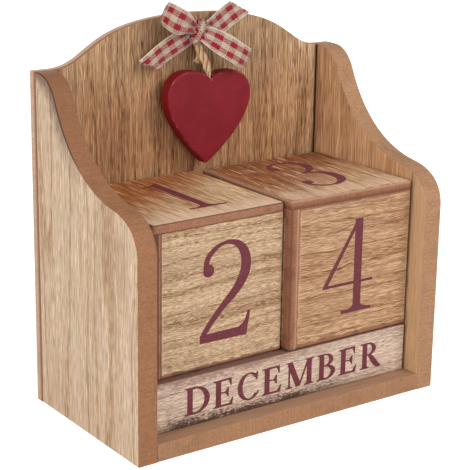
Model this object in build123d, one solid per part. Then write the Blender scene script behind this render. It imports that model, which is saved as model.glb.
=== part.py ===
from build123d import *
import math
import os

# A perpetual desk calendar. An open-fronted cradle of four boards holds three square
# month bars side by side, and two number cubes stand on the bars. A painted heart hangs
# on a short length of twine from a tack in the back board, under a ribbon bow.
#
# Millimetres. +X is to the right as the calendar is read, +Y is to the back, +Z is up.
# The origin is the middle of the footprint, on the table.

# ------------------------------------------------------------------ driving dimensions

# number cubes: six thin panels glued into a box
left_cube_size = 65.0
right_cube_size = 66.0
cube_panel_thickness = 4.0
cube_edge_radius = 1.2
left_cube_turn = 1.4            # degrees anticlockwise from above, about its front right edge
left_cube_recess = 12.8         # front of the cube behind the front of the case
right_cube_recess = 8.7
cube_gap = 0.6                  # between the two cubes
left_cube_wall_gap = 4.9
right_cube_wall_gap = 0.5
cube_back_gap = 1.2             # between the deepest cube and the back board

# month bars: three square bars, four month names on each
month_bar_names = ["front_month_bar", "middle_month_bar", "rear_month_bar"]
month_bar_size = 21.5
month_bar_recess = 8.0
month_bar_gap = 0.3             # between one bar and the next
month_bar_end_gap = 0.6         # between a bar's end and the side board
month_bar_edge_radius = 0.8

# case
side_thickness = 9.0
back_thickness = 5.0
base_thickness = 7.6
board_edge_radius = 0.5

# front profile of the side boards, as depth from the front edge and height
nose_height = 84.0              # top of the straight front edge
nose_pull = 9.7                 # how far the straight line carries into the nose's round
ledge_depth = 18.0              # where the nose's round runs out onto the sloping ledge
ledge_height = 101.0
ledge_slope = 0.13
ledge_front_pull = 11.6
ledge_back_pull = 24.5
crest_run = 16.5                # where the hollow turns over into the crest, from the back
crest_drop = 10.5               # and below the top
crest_lean = 24.8               # degrees that the line leans back from upright there
crest_lower_pull = 15.7
crest_upper_pull = 8.6
top_flat = 2.0                  # short level stretch at the back of the top
top_pull = 5.9

# domed top of the back board
dome_rise = 19.0                # peak above the shoulders
shoulder_flat = 7.5             # level stretch of each shoulder
dome_peak_pull = 54.0
dome_shoulder_pull = 19.8

# heart
heart_width = 43.6
heart_height = 41.3             # from the tip to the tops of the lobes
heart_notch_height = 37.8       # from the tip to the bottom of the notch
heart_thickness = 6.6
heart_edge_radius = 1.1
heart_tip_radius = 1.3
heart_turn = 3.2                # degrees clockwise, as the calendar is read
heart_tip_shift = 1.0           # tip to the right of the middle
heart_clearance = 3.25          # tip above the taller cube
heart_back_gap = 3.0            # between the heart and the back board

# tack, and the twine that hangs on it
tack_shank_diameter = 2.0
tack_head_diameter = 4.4
tack_head_thickness = 0.8
tack_head_gap = 0.6             # between the twine and the back of the head
tack_depth = 4.0                # in the back board
tack_below_peak = 8.5
twine_diameter = 3.0
twine_drop = 19.4               # from the tack down to the notch
twine_play = 0.3                # between the twine and the tack's shank
twine_to_back = 4.3             # from the twine's centre at the tack to the back board
twine_knot_radius = 1.8
twine_knot_flat = 1.2           # flat top of the knot, above the knot's centre
socket_play = 0.35              # between the knot and its socket in the heart
socket_sink = 0.7               # knot's centre below the bottom of the notch
socket_shift = 0.3              # and to the right of it
socket_forward = 0.3            # and in front of the middle of the heart's thickness

# ribbon bow
ribbon_width = 10.0
ribbon_thickness = 0.6
bow_depth = 5.0                 # front to back, over both layers of a loop
bow_knot_width = 7.5
bow_knot_height = 8.5
bow_knot_edge_radius = 1.2
bow_knot_shift = -4.0           # beside the tack
bow_knot_lift = 1.2             # above the tack
left_loop_length = 20.4         # the loop that rises to the left
left_loop_direction = 148.3     # degrees, from the right anticlockwise
left_loop_lean = 0.0            # degrees towards the front
right_loop_length = 28.8        # the loop that falls to the right
right_loop_direction = -31.7
right_loop_lean = 8.0
right_tail_length = 24.8        # the tail that rises to the right
right_tail_direction = 24.1
right_tail_lean = 0.0
left_tail_length = 27.1         # the tail that falls to the left
left_tail_direction = 207.0
left_tail_lean = -4.0

# brads that hold the back board
brad_diameter = 1.2
brad_length = 14.0
brad_head_diameter = 2.2
brad_head_thickness = 0.6
side_brad_count = 3
base_brad_count = 2
brad_end_margin = 16.0          # first and last brad from the ends of their row

# ------------------------------------------------------------------ worked out from them

right_cube_span = right_cube_wall_gap + right_cube_size
inner_width = left_cube_wall_gap + left_cube_size + cube_gap + right_cube_span
case_width = inner_width + 2 * side_thickness
month_bar_length = inner_width - 2 * month_bar_end_gap

left_cube_reach = left_cube_recess + left_cube_size
right_cube_reach = right_cube_recess + right_cube_size
month_bar_pitch = month_bar_size + month_bar_gap
month_bar_reach = month_bar_recess + len(month_bar_names) * month_bar_pitch
side_depth = max(left_cube_reach, right_cube_reach, month_bar_reach) + cube_back_gap
case_depth = side_depth + back_thickness
front_y = -case_depth / 2
back_face_y = front_y + side_depth
rear_y = case_depth / 2

cube_floor_z = base_thickness + month_bar_size
cube_top_z = cube_floor_z + max(left_cube_size, right_cube_size)

heart_lean = math.radians(heart_turn)
heart_front_y = back_face_y - heart_back_gap - heart_thickness
heart_tip = Vector(heart_tip_shift, heart_front_y, cube_top_z + heart_clearance)
heart_right = Vector(math.cos(heart_lean), 0, -math.sin(heart_lean))
heart_up = Vector(math.sin(heart_lean), 0, math.cos(heart_lean))
notch = heart_tip + heart_up * heart_notch_height
knot_centre = notch + Vector(socket_shift, heart_thickness / 2 - socket_forward, -socket_sink)

tack = Vector(0, back_face_y - twine_to_back, notch.Z + twine_drop)
tack_head_back_y = tack.Y - twine_diameter / 2 - tack_head_gap
tack_head_front_y = tack_head_back_y - tack_head_thickness
back_peak = tack.Z + tack_below_peak
side_height = back_peak - dome_rise

bow_knot = Vector(
    tack.X + bow_knot_shift,
    tack_head_front_y - bow_depth / 2,
    tack.Z + bow_knot_lift,
)


def save(shape, node):
    """Write one piece to parts/NODE.step."""
    export_step(shape, "parts/" + node + ".step")


def block(low, high):
    """A box between two opposite corners."""
    size = [high[i] - low[i] for i in range(3)]
    return Pos(*low) * Box(*size, align=(Align.MIN, Align.MIN, Align.MIN))


def rod(start, direction, length, diameter):
    """A round bar from a point along a direction."""
    plane = Plane(origin=start, z_dir=direction)
    return extrude(plane * Circle(diameter / 2), amount=length)


# ------------------------------------------------------------------ boards of the case

def side_profile():
    """Outline of a side board: an upright nose, a ledge, a hollow and a rounded crest."""
    ledge = Vector(ledge_depth, ledge_height)
    ledge_way = Vector(1, ledge_slope)
    crest = Vector(side_depth - crest_run, side_height - crest_drop)
    lean = math.radians(crest_lean)
    crest_way = Vector(math.sin(lean), math.cos(lean))
    top = Vector(side_depth - top_flat, side_height)
    nose = Vector(0, nose_height)
    return [
        Line((0, 0), nose),
        Bezier(nose, nose + Vector(0, nose_pull), ledge - ledge_way * ledge_front_pull, ledge),
        Bezier(ledge, ledge + ledge_way * ledge_back_pull, crest - crest_way * crest_lower_pull, crest),
        Bezier(crest, crest + crest_way * crest_upper_pull, top - Vector(top_pull, 0), top),
        Line(top, (side_depth, side_height)),
        Line((side_depth, side_height), (side_depth, 0)),
        Line((side_depth, 0), (0, 0)),
    ]


def brad_places():
    """Middle of each brad's head: three up each side board, two along the base."""
    places = []
    side_x = (inner_width + side_thickness) / 2
    side_step = (side_height - 2 * brad_end_margin) / (side_brad_count - 1)
    for x in (-side_x, side_x):
        for i in range(side_brad_count):
            places.append(Vector(x, rear_y, brad_end_margin + i * side_step))
    base_step = (inner_width - 2 * brad_end_margin) / (base_brad_count - 1)
    for i in range(base_brad_count):
        x = -inner_width / 2 + brad_end_margin + i * base_step
        places.append(Vector(x, rear_y, base_thickness / 2))
    return places


def brad(place):
    """A fine brad driven from the back, with its head flush in the board."""
    forward = Vector(0, -1, 0)
    shank = rod(place, forward, brad_length, brad_diameter)
    head = rod(place, forward, brad_head_thickness, brad_head_diameter)
    return shank + head


def side_board(left_x):
    """A side board standing on the table, with its big faces eased at the edges."""
    plane = Plane(origin=(left_x, front_y, 0), x_dir=(0, 1, 0), z_dir=(1, 0, 0))
    outline = plane * make_face(side_profile())
    board = extrude(outline, amount=side_thickness)
    across = board.faces().sort_by(Axis.X)
    board = fillet(across[0].edges() + across[-1].edges(), board_edge_radius)
    for place in brad_places():
        board -= brad(place)
    return board


def base_board():
    """The board between the sides that the month bars stand on."""
    board = block(
        (-inner_width / 2, front_y, 0),
        (inner_width / 2, back_face_y, base_thickness),
    )
    front = board.faces().sort_by(Axis.Y)[0]
    board = fillet(front.edges().filter_by(Axis.X), board_edge_radius)
    for place in brad_places():
        board -= brad(place)
    return board


def back_outline():
    """Outline of the back board: square shoulders with a dome between them."""
    half = case_width / 2
    peak = Vector(0, back_peak)
    shoulder = Vector(half - shoulder_flat, side_height)
    right = [
        Line((0, 0), (half, 0)),
        Line((half, 0), (half, side_height)),
        Line((half, side_height), shoulder),
        Bezier(shoulder, shoulder - Vector(dome_shoulder_pull, 0), peak + Vector(dome_peak_pull, 0), peak),
    ]
    left = [edge.mirror(Plane.YZ) for edge in right]
    return right + left


def back_board():
    """The thin board behind the sides, drilled for its brads and for the tack."""
    plane = Plane(origin=(0, back_face_y, 0), x_dir=(1, 0, 0), z_dir=(0, -1, 0))
    board = extrude(plane * make_face(back_outline()), amount=-back_thickness)
    across = board.faces().sort_by(Axis.Y)
    board = fillet(across[0].edges() + across[-1].edges(), board_edge_radius)
    for place in brad_places():
        board -= brad(place)
    return board - tack_shank()


# ------------------------------------------------------------------ month bars

def month_bar(index):
    """One square bar, lying across the case. Bar 0 is the front one."""
    near_y = front_y + month_bar_recess + index * month_bar_pitch
    bar = block(
        (-month_bar_length / 2, near_y, base_thickness),
        (month_bar_length / 2, near_y + month_bar_size, cube_floor_z),
    )
    return fillet(bar.edges(), month_bar_edge_radius)


# ------------------------------------------------------------------ number cubes

def cube_panels(size):
    """The six panels of a cube whose lowest corner is at the origin.

    The top lies over the four walls, the bottom lies between them, and each wall
    covers the end of the next one.
    """
    rim = size - cube_panel_thickness
    wall = cube_panel_thickness
    whole = fillet(block((0, 0, 0), (size, size, size)).edges(), cube_edge_radius)
    boxes = {
        "top": block((0, 0, rim), (size, size, size)),
        "bottom": block((wall, wall, 0), (rim, rim, wall)),
        "front": block((wall, 0, 0), (size, wall, rim)),
        "right": block((rim, wall, 0), (size, size, rim)),
        "back": block((0, rim, 0), (rim, size, rim)),
        "left": block((0, 0, 0), (wall, rim, rim)),
    }
    return {side: whole & box for side, box in boxes.items()}


def left_cube_place():
    """Turns the left cube about its front right edge and stands it on the bars."""
    edge_x = inner_width / 2 - right_cube_span - cube_gap
    edge = Pos(edge_x, front_y + left_cube_recess, cube_floor_z)
    return edge * Rot(0, 0, left_cube_turn) * Pos(-left_cube_size, 0, 0)


def right_cube_place():
    """Stands the right cube on the bars, close to the right side board."""
    left_x = inner_width / 2 - right_cube_span
    return Pos(left_x, front_y + right_cube_recess, cube_floor_z)


# ------------------------------------------------------------------ heart

def heart():
    """The heart, turned a little, with a round socket in its notch for the knot."""
    half = heart_width / 2
    lobe_x = 0.51 * half
    widest = Vector(half, 0.73 * heart_height)
    lobe = Vector(lobe_x, heart_height)
    right = [
        Bezier(
            (0, heart_notch_height),
            (0.10 * half, heart_notch_height + 0.7 * (heart_height - heart_notch_height)),
            (0.28 * half, heart_height),
            lobe,
        ),
        Bezier(lobe, (0.81 * half, heart_height), (half, 0.88 * heart_height), widest),
        Bezier(widest, (half, 0.51 * heart_height), (0.55 * half, 0.23 * heart_height), (0, 0)),
    ]
    left = [edge.mirror(Plane.YZ) for edge in right]
    plane = Plane(origin=heart_tip, x_dir=heart_right, z_dir=(0, -1, 0))
    body = extrude(plane * make_face(right + left), amount=-heart_thickness)
    along_thickness = body.edges().filter_by(Axis.Y).sort_by(Axis.Z)
    body = fillet(along_thickness[0], heart_tip_radius)
    across = body.faces().sort_by(Axis.Y)
    body = fillet(across[0].edges() + across[-1].edges(), heart_edge_radius)
    socket_radius = twine_knot_radius + socket_play
    socket = Pos(*knot_centre) * Sphere(socket_radius)
    mouth = rod(knot_centre, (0, 0, 1), heart_height, 2 * socket_radius)
    return body - socket - mouth


# ------------------------------------------------------------------ tack and twine

def tack_shank():
    """The shank of the tack, from behind its head into the back board."""
    start = Vector(tack.X, tack_head_back_y, tack.Z)
    length = back_face_y + tack_depth - tack_head_back_y
    return rod(start, (0, 1, 0), length, tack_shank_diameter)


def bow_tack():
    """The small flat-headed nail that carries the twine."""
    head_start = Vector(tack.X, tack_head_front_y, tack.Z)
    head = rod(head_start, (0, 1, 0), tack_head_thickness, tack_head_diameter)
    return head + tack_shank()


def twine_route():
    """Corner points of the twine, from the knot in the heart over the tack and down."""
    reach = tack_shank_diameter / 2 + twine_play + twine_diameter / 2
    start = knot_centre + Vector(0, 0, twine_knot_flat)
    return [
        start,
        start + Vector(0, 0, 3.6),
        start + Vector(-1.1, 1.5, 9.9),
        tack + Vector(reach, 0, reach),
        tack + Vector(-reach, 0, reach),
        tack + Vector(-2.2, 0.8, -5.7),
        tack + Vector(-1.6, 1.5, -11.3),
        tack + Vector(1.6, 1.7, -15.9),
    ]


def route_radii(points):
    """Arc radius at each inner corner: as large as its two runs allow."""
    radii = []
    for before, corner, after in zip(points, points[1:], points[2:]):
        run_in = corner - before
        run_out = after - corner
        half_turn = math.radians(run_in.get_angle(run_out)) / 2
        radii.append(0.45 * min(run_in.length, run_out.length) / math.tan(half_turn))
    return radii


def hanging_twine():
    """The twine as a round tube of straight runs and tangent arcs."""
    points = twine_route()
    radii = route_radii(points)
    path = FilletPolyline(*points, radius=radii)
    section = Plane(origin=points[0], z_dir=points[1] - points[0]) * Circle(twine_diameter / 2)
    tube = sweep(section, path=path)
    area = math.pi * twine_diameter ** 2 / 4
    print("twine radii", [round(radius, 2) for radius in radii])
    print("twine length", round(path.length, 2))
    print("twine volume", round(tube.volume, 2), "section x length", round(area * path.length, 2))
    return tube


def twine_knot():
    """The stopper knot in the heart's socket, flat where the twine rises from it."""
    ball = Pos(*knot_centre) * Sphere(twine_knot_radius)
    above = knot_centre + Vector(0, 0, twine_knot_flat)
    return ball - rod(above, (0, 0, 1), twine_knot_radius, 3 * twine_knot_radius)


# ------------------------------------------------------------------ ribbon bow

def ribbon_plane(direction, lean):
    """Plane whose X runs along the ribbon and whose Z runs across it."""
    turn = math.radians(direction)
    tilt = math.radians(lean)
    along = Vector(math.cos(turn) * math.cos(tilt), -math.sin(tilt), math.sin(turn) * math.cos(tilt))
    across = Vector(-math.sin(turn), 0, math.cos(turn))
    return Plane(origin=bow_knot, x_dir=along, z_dir=across)


def ribbon_loop(direction, lean, length):
    """One loop: a flat ring of ribbon, round at its outer end."""
    plane = ribbon_plane(direction, lean)
    outer = Pos(length / 2, 0) * SlotOverall(length, bow_depth)
    inner_length = length - 2 * ribbon_thickness
    inner = Pos(length / 2, 0) * SlotOverall(inner_length, bow_depth - 2 * ribbon_thickness)
    return extrude(plane * (outer - inner), amount=ribbon_width / 2, both=True)


def ribbon_tail(direction, lean, length):
    """One tail: a thin flat strip with a straight cut end."""
    plane = ribbon_plane(direction, lean)
    strip = Pos(length / 2, 0) * Rectangle(length, ribbon_thickness)
    return extrude(plane * strip, amount=ribbon_width / 2, both=True)


def ribbon_bow():
    """Knot, two loops and two tails of one ribbon, resting against the tack's head."""
    box = Pos(*bow_knot) * Box(bow_knot_width, bow_depth, bow_knot_height)
    bow = fillet(box.edges().filter_by(Axis.Y), bow_knot_edge_radius)
    bow += ribbon_loop(left_loop_direction, left_loop_lean, left_loop_length)
    bow += ribbon_loop(right_loop_direction, right_loop_lean, right_loop_length)
    bow += ribbon_tail(right_tail_direction, right_tail_lean, right_tail_length)
    bow += ribbon_tail(left_tail_direction, left_tail_lean, left_tail_length)
    return bow


# ------------------------------------------------------------------ build every piece

os.makedirs("parts", exist_ok=True)

save(base_board(), "base_board")
save(side_board(-case_width / 2), "left_side")
save(side_board(inner_width / 2), "right_side")
save(back_board(), "back_board")
save(Compound(children=[brad(place) for place in brad_places()]), "back_brads")

for bar_index, bar_name in enumerate(month_bar_names):
    save(month_bar(bar_index), bar_name)

for side, panel in cube_panels(left_cube_size).items():
    save(left_cube_place() * panel, "left_cube_" + side)
for side, panel in cube_panels(right_cube_size).items():
    save(right_cube_place() * panel, "right_cube_" + side)

save(heart(), "heart")
save(bow_tack(), "bow_tack")
save(hanging_twine(), "hanging_twine")
save(twine_knot(), "twine_knot")
save(ribbon_bow(), "ribbon_bow")

print("case", round(case_width, 2), "x", round(case_depth, 2), "x", round(back_peak, 2))
print("sides", round(side_depth, 2), "deep", round(side_height, 2), "high")
print("notch", notch, "knot", knot_centre, "tack", tack)
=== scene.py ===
# %% [markdown]
# # A perpetual desk calendar
# A wooden cradle holds three month bars and two number cubes, and a painted heart hangs on
# jute twine below a gingham bow. The solid pieces come ready made from the CAD frame, true
# to size. Here they get their finishes, and what is soft or printed is modelled: the twine,
# the bow and the ink. All lengths are in metres, so the frame needs no fitting.

# %% Load the frame
import math
import random

import bmesh
import bpy
from mathutils import Matrix, Vector
from mathutils.geometry import delaunay_2d_cdt


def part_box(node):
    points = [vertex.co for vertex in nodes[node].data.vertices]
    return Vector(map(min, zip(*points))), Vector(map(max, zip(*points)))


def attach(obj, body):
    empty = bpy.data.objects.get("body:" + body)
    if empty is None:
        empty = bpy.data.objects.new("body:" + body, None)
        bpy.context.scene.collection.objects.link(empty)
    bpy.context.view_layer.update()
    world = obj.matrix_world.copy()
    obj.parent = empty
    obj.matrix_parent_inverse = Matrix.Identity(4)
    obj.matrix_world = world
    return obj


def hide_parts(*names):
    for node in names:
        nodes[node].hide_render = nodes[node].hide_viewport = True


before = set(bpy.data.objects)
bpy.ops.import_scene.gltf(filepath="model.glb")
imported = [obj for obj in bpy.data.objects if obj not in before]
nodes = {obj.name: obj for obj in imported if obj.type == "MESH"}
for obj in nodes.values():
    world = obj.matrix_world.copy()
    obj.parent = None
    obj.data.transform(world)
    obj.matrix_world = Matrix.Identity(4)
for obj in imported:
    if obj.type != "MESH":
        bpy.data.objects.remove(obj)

MM = 0.001
scene = bpy.context.scene
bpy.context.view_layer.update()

# %% [markdown]
# ## Camera
# Product pictures of small things are taken with a long lens from a little above, so that
# upright edges stay nearly upright. The camera could be aimed at an empty with a constraint.
# A place, a view direction and a small roll say the same in three values, and leave nothing
# live in the scene.

# %% Camera
camera_place = Vector((-0.35015, -0.48666, 0.24984))
view_direction = Vector((0.557311, 0.780464, -0.283336)).normalized()
camera_roll = math.radians(0.895)
middle = Vector((0, 0, 0.08))   # of the calendar

camera_data = bpy.data.cameras.new("camera")
camera_data.lens = 111.13
camera_data.sensor_width = 36.0
camera = bpy.data.objects.new("camera", camera_data)
scene.collection.objects.link(camera)
level_right = view_direction.cross(Vector((0, 0, 1))).normalized()
level_up = level_right.cross(view_direction)
camera_right = level_right * math.cos(camera_roll) + level_up * math.sin(camera_roll)
camera_up = level_up * math.cos(camera_roll) - level_right * math.sin(camera_roll)
turn = Matrix((camera_right, camera_up, -view_direction)).transposed()
camera.matrix_world = Matrix.Translation(camera_place) @ turn.to_4x4()
scene.camera = camera
print("camera", round((camera_place - middle).length, 3), "m away")

# %% [markdown]
# ## The twine
# The heart hangs on one short length of jute. It is knotted in the heart's notch and rises
# over the tack behind the bow. Its other end comes down, crosses behind the rising part and
# ends in a frayed tuft. A rope is best drawn as its own yarns: a spline gives the line that the
# rope's middle follows, and each yarn is a helix around it. The yarns catch the light the
# way that real ones do, which no bump map on a plain tube can match.

# %% Line of the twine
knot_centre = Vector((3.410, 30.4, 135.391)) * MM
twine_points = [
    Vector((3.410, 30.4, 136.591)) * MM,
    Vector((3.410, 30.4, 139.2)) * MM,
    Vector((1.9, 31.2, 144.4)) * MM,
    Vector((-1.5, 31.9, 150.8)) * MM,
    Vector((-3.5, 32.7, 158.0)) * MM,
    Vector((3.2, 32.7, 158.6)) * MM,
    Vector((3.0, 33.6, 152.2)) * MM,
    Vector((1.9, 34.3, 147.4)) * MM,
    Vector((-0.4, 34.3, 142.6)) * MM,
]


def spline_line(points, fineness):
    """Points along the smooth curve that these control points make."""
    curve = bpy.data.curves.new("line", "CURVE")
    curve.dimensions = "3D"
    spline = curve.splines.new("NURBS")
    spline.points.add(len(points) - 1)
    for spot, point in zip(spline.points, points):
        spot.co = (*point, 1.0)
    spline.order_u = 3
    spline.use_endpoint_u = True
    spline.resolution_u = fineness
    line = bpy.data.objects.new("line", curve)
    scene.collection.objects.link(line)
    mesh = bpy.data.meshes.new_from_object(line)
    places = [vertex.co.copy() for vertex in mesh.vertices]
    bpy.data.objects.remove(line)
    bpy.data.meshes.remove(mesh)
    bpy.data.curves.remove(curve)
    return places


twine_line = spline_line(twine_points, 24)
twine_length = sum((b - a).length for a, b in zip(twine_line, twine_line[1:]))
print("twine", len(twine_line), "points", round(twine_length / MM, 1), "mm")

# %% [markdown]
# ### Yarns
# A curve object with many splines and a round bevel turns into thin tubes in one step, and
# each point's radius makes a yarn thinner towards its end. The frames along the line are
# carried from point to point without twisting, so that the lay of the rope comes from the
# helix alone.

# %% Tubes and frames along a line
def tube_mesh(name, lines, thickness, sides=1):
    """One mesh of round tubes. A line is a list of (point, share of the thickness)."""
    curve = bpy.data.curves.new(name, "CURVE")
    curve.dimensions = "3D"
    curve.bevel_depth = thickness / 2
    curve.bevel_resolution = sides
    curve.use_fill_caps = True
    for line in lines:
        spline = curve.splines.new("POLY")
        spline.points.add(len(line) - 1)
        for spot, (point, share) in zip(spline.points, line):
            spot.co = (*point, 1.0)
            spot.radius = share
    holder = bpy.data.objects.new(name, curve)
    scene.collection.objects.link(holder)
    mesh = bpy.data.meshes.new_from_object(holder)
    mesh.name = name
    bpy.data.objects.remove(holder)
    bpy.data.curves.remove(curve)
    for face in mesh.polygons:
        face.use_smooth = True
    return mesh


def frames_along(points):
    """(point, side, other side) along a line, carried on without a twist."""
    ways = [(b - a).normalized() for a, b in zip(points, points[1:])]
    ways.append(ways[-1])
    side = ways[0].orthogonal().normalized()
    frames = []
    for point, way in zip(points, ways):
        side = (side - way * side.dot(way)).normalized()
        frames.append((point, side, way.cross(side)))
    return frames


def keep_piece(name, mesh, body):
    """Puts a finished mesh into the scene as a piece that moves with a body."""
    piece = bpy.data.objects.new(name, mesh)
    scene.collection.objects.link(piece)
    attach(piece, body)
    print(name, len(mesh.polygons), "faces")
    return piece


# %% [markdown]
# ### Lay and loose fibres
# Three plies of four yarns are laid round each other, and the yarns turn the other way inside
# each ply, as in real cordage. The rope is pulled thin where it enters the notch and opens
# into a tuft at its free end. Jute is hairy, so short fibres leave the surface at a slant.

# %% Yarns and fibres
ply_lay = 13.0 * MM             # length of one turn of the plies
yarn_lay = 5.2 * MM
yarn_thickness = 0.78 * MM
fibre_thickness = 0.09 * MM
fibre_count = 120
tuft_length = 5.0 * MM
twine_frames = frames_along(twine_line)


def twine_slimness(travel):
    """Share of the full thickness: thin at the notch, full above it, and worn at the free end."""
    rise = min(1.0, travel / (5 * MM))
    fall = max(0.0, (travel - 27 * MM) / (12 * MM))
    return 0.62 + 0.50 * rise * rise * (3 - 2 * rise) - 0.42 * min(1.0, fall)


def yarn(ply, index):
    """One yarn of one ply along the whole twine."""
    line = []
    travel = 0.0
    last = twine_line[0]
    for point, side, other in twine_frames:
        travel += (point - last).length
        last = point
        slim = twine_slimness(travel)
        tuft = max(0.0, 1 - (twine_length - travel) / tuft_length)
        ply_angle = 2 * math.pi * (travel / ply_lay + ply / 3)
        ply_way = side * math.cos(ply_angle) + other * math.sin(ply_angle)
        ply_middle = point + ply_way * (1.00 + 0.1 * tuft) * MM * slim
        yarn_angle = 2 * math.pi * (index / 4 - travel / yarn_lay)
        yarn_way = side * math.cos(yarn_angle) + other * math.sin(yarn_angle)
        reach = (0.38 + 0.3 * tuft) * MM * slim
        line.append((ply_middle + yarn_way * reach, slim * (1 - 0.55 * tuft)))
    return line


def loose_fibre(dice):
    """A short stiff hair that leaves the twine at a slant."""
    start = dice.randrange(4, len(twine_frames) - 8)
    point, side, other = twine_frames[start]
    angle = dice.uniform(0, 2 * math.pi)
    out = side * math.cos(angle) + other * math.sin(angle)
    along = (twine_frames[start + 1][0] - point).normalized() * dice.choice((-1, 1))
    swerve = side.cross(out) * dice.uniform(-0.5, 0.5)
    length = dice.uniform(1.2, 3.4) * MM
    line = []
    for step in range(5):
        share = step / 4
        lift = 1.4 * MM + 0.42 * length * share ** 1.6
        place = point + along * length * share + out * lift + swerve * length * share ** 2
        line.append((place, (1 - 0.6 * share) * fibre_thickness / yarn_thickness))
    return line


dice = random.Random(7)
twine_lines = [yarn(ply, index) for ply in range(3) for index in range(4)]
twine_lines += [loose_fibre(dice) for count in range(fibre_count)]
twine_mesh = tube_mesh("twine_yarns", twine_lines, yarn_thickness)
twine = keep_piece("twine_yarns", twine_mesh, "twine")
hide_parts("hanging_twine")

# %% [markdown]
# ### Knot
# The knot in the notch is a small ball of the same yarns, wound round it in slanting turns.
# A tied knot would be far more work, and only its top shows above the heart.

# %% Knot and cord
def knot_line(start_angle):
    """A yarn wound round the knot in slanting turns."""
    turns, steps = 4.5, 90
    radius = 1.35 * MM
    line = []
    for step in range(steps + 1):
        share = step / steps
        round_angle = start_angle + 2 * math.pi * turns * share
        tilt = math.radians(62) * math.sin(2 * math.pi * share * 1.5)
        flat = Vector((math.cos(round_angle), math.sin(round_angle), 0))
        way = flat * math.cos(tilt) + Vector((0, 0, math.sin(tilt)))
        line.append((knot_centre + way * radius, 0.9))
    return line


knot_lines = [knot_line(angle) for angle in (0.0, 2.1, 4.2)]
knot_mesh = tube_mesh("knot_yarns", knot_lines, yarn_thickness)
knot = keep_piece("knot_yarns", knot_mesh, "twine")
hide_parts("twine_knot")

# %% [markdown]
# ## A small helper for wiring materials
# Every finish below is a net of nodes. Built by hand, each node takes several lines, and
# the idea of the finish gets lost. This helper adds a node and joins or sets its inputs in
# one line, so a finish reads like a recipe. All patterns are measured in millimetres. A
# noise mostly lies between 0.3 and 0.7, and a fade between two such values cuts soft-edged
# patches out of it: the closer the two values, the harder the patches' edges.

# %% Wiring helper
def paint(red, green, blue):
    """A colour as it is seen, 0 to 255, as the linear colour that shaders use."""
    def linear(value):
        value = value / 255
        return value / 12.92 if value <= 0.04045 else ((value + 0.055) / 1.055) ** 2.4
    return (linear(red), linear(green), linear(blue), 1.0)


class Wiring:
    """Adds nodes to one tree and joins them."""

    def __init__(self, tree):
        self.tree = tree

    def join(self, value, socket):
        if isinstance(value, bpy.types.NodeSocket):
            self.tree.links.new(value, socket)
        else:
            socket.default_value = value

    def put(self, kind, *values, **settings):
        """A new node with its settings, and its first inputs joined or set."""
        node = self.tree.nodes.new("ShaderNode" + kind)
        for name, setting in settings.items():
            setattr(node, name, setting)
        for value, socket in zip(values, node.inputs):
            self.join(value, socket)
        return node

    def maths(self, operation, *values):
        return self.put("Math", *values, operation=operation).outputs[0]

    def plus(self, first, second):
        return self.maths("ADD", first, second)

    def minus(self, first, second):
        return self.maths("SUBTRACT", first, second)

    def times(self, first, second):
        return self.maths("MULTIPLY", first, second)

    def times_plus(self, first, second, third):
        return self.maths("MULTIPLY_ADD", first, second, third)

    def smaller(self, first, second):
        return self.maths("MINIMUM", first, second)

    def larger(self, first, second):
        return self.maths("MAXIMUM", first, second)

    def unsigned(self, value):
        return self.maths("ABSOLUTE", value)

    def swayed(self, value, noise, reach):
        """The value, moved by a noise by up to half the reach either way."""
        return self.times_plus(self.minus(noise, 0.5), reach, value)

    def scaled(self, vector, factors):
        return self.put("VectorMath", vector, factors, operation="MULTIPLY").outputs[0]

    def moved(self, vector, amount):
        return self.put("VectorMath", vector, amount, operation="ADD").outputs[0]

    def dot(self, vector, way):
        return self.put("VectorMath", vector, tuple(way), operation="DOT_PRODUCT").outputs["Value"]

    def packed(self, x, y, z):
        return self.put("CombineXYZ", x, y, z).outputs[0]

    def split(self, vector):
        return self.put("SeparateXYZ", vector).outputs

    def fade(self, value, low, high):
        """0 below low, 1 above high, smooth between. It falls where high is below low."""
        return self.put("MapRange", value, low, high, interpolation_type="SMOOTHSTEP").outputs[0]

    def noise(self, place, detail=2.0, roughness=0.5, scale=None, shift=None):
        """Noise with cells a millimetre wide, unless a scale stretches them."""
        if scale:
            place = self.scaled(place, scale)
        if shift:
            place = self.moved(place, shift)
        node = self.put("TexNoise", place)
        node.inputs["Scale"].default_value = 1.0
        node.inputs["Detail"].default_value = detail
        node.inputs["Roughness"].default_value = roughness
        return node.outputs[0]

    def mix(self, share, first, second, kind="MIX"):
        node = self.put("Mix", share, data_type="RGBA", blend_type=kind)
        self.join(first, node.inputs[6])
        self.join(second, node.inputs[7])
        return node.outputs[2]

    def over(self, colour, layer, mask, share=1.0):
        """Another colour laid over this one where the mask is, in full or as a share."""
        if share != 1.0:
            mask = self.times(mask, share)
        return self.mix(mask, colour, layer)

    def shade(self, colour, value):
        """The colour times a grey value."""
        return self.mix(1.0, colour, self.packed(value, value, value), "MULTIPLY")

    def object_place(self):
        """Object coordinates in millimetres, and the surface normal."""
        source = self.put("TexCoord")
        return self.scaled(source.outputs["Object"], (1 / MM,) * 3), source.outputs["Normal"]


# %% [markdown]
# An effect that several finishes share is a node group of its own, with named sockets. A
# finish ends the same way each time: its colour, roughness and relief go to the shader.

# %% Groups and finishes
def effect_group(name, inputs, outputs):
    """A node group with named sockets, listed by kind. Returns its tree, wiring and both ends."""
    tree = bpy.data.node_groups.new(name, "ShaderNodeTree")
    kinds = {"vector": "NodeSocketVector", "colour": "NodeSocketColor", "value": "NodeSocketFloat"}
    for direction, sockets in (("INPUT", inputs), ("OUTPUT", outputs)):
        for kind, labels in sockets.items():
            for label in labels:
                tree.interface.new_socket(name=label, in_out=direction, socket_type=kinds[kind])
    given = tree.nodes.new("NodeGroupInput").outputs
    return tree, Wiring(tree), given, tree.nodes.new("NodeGroupOutput").inputs


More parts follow.
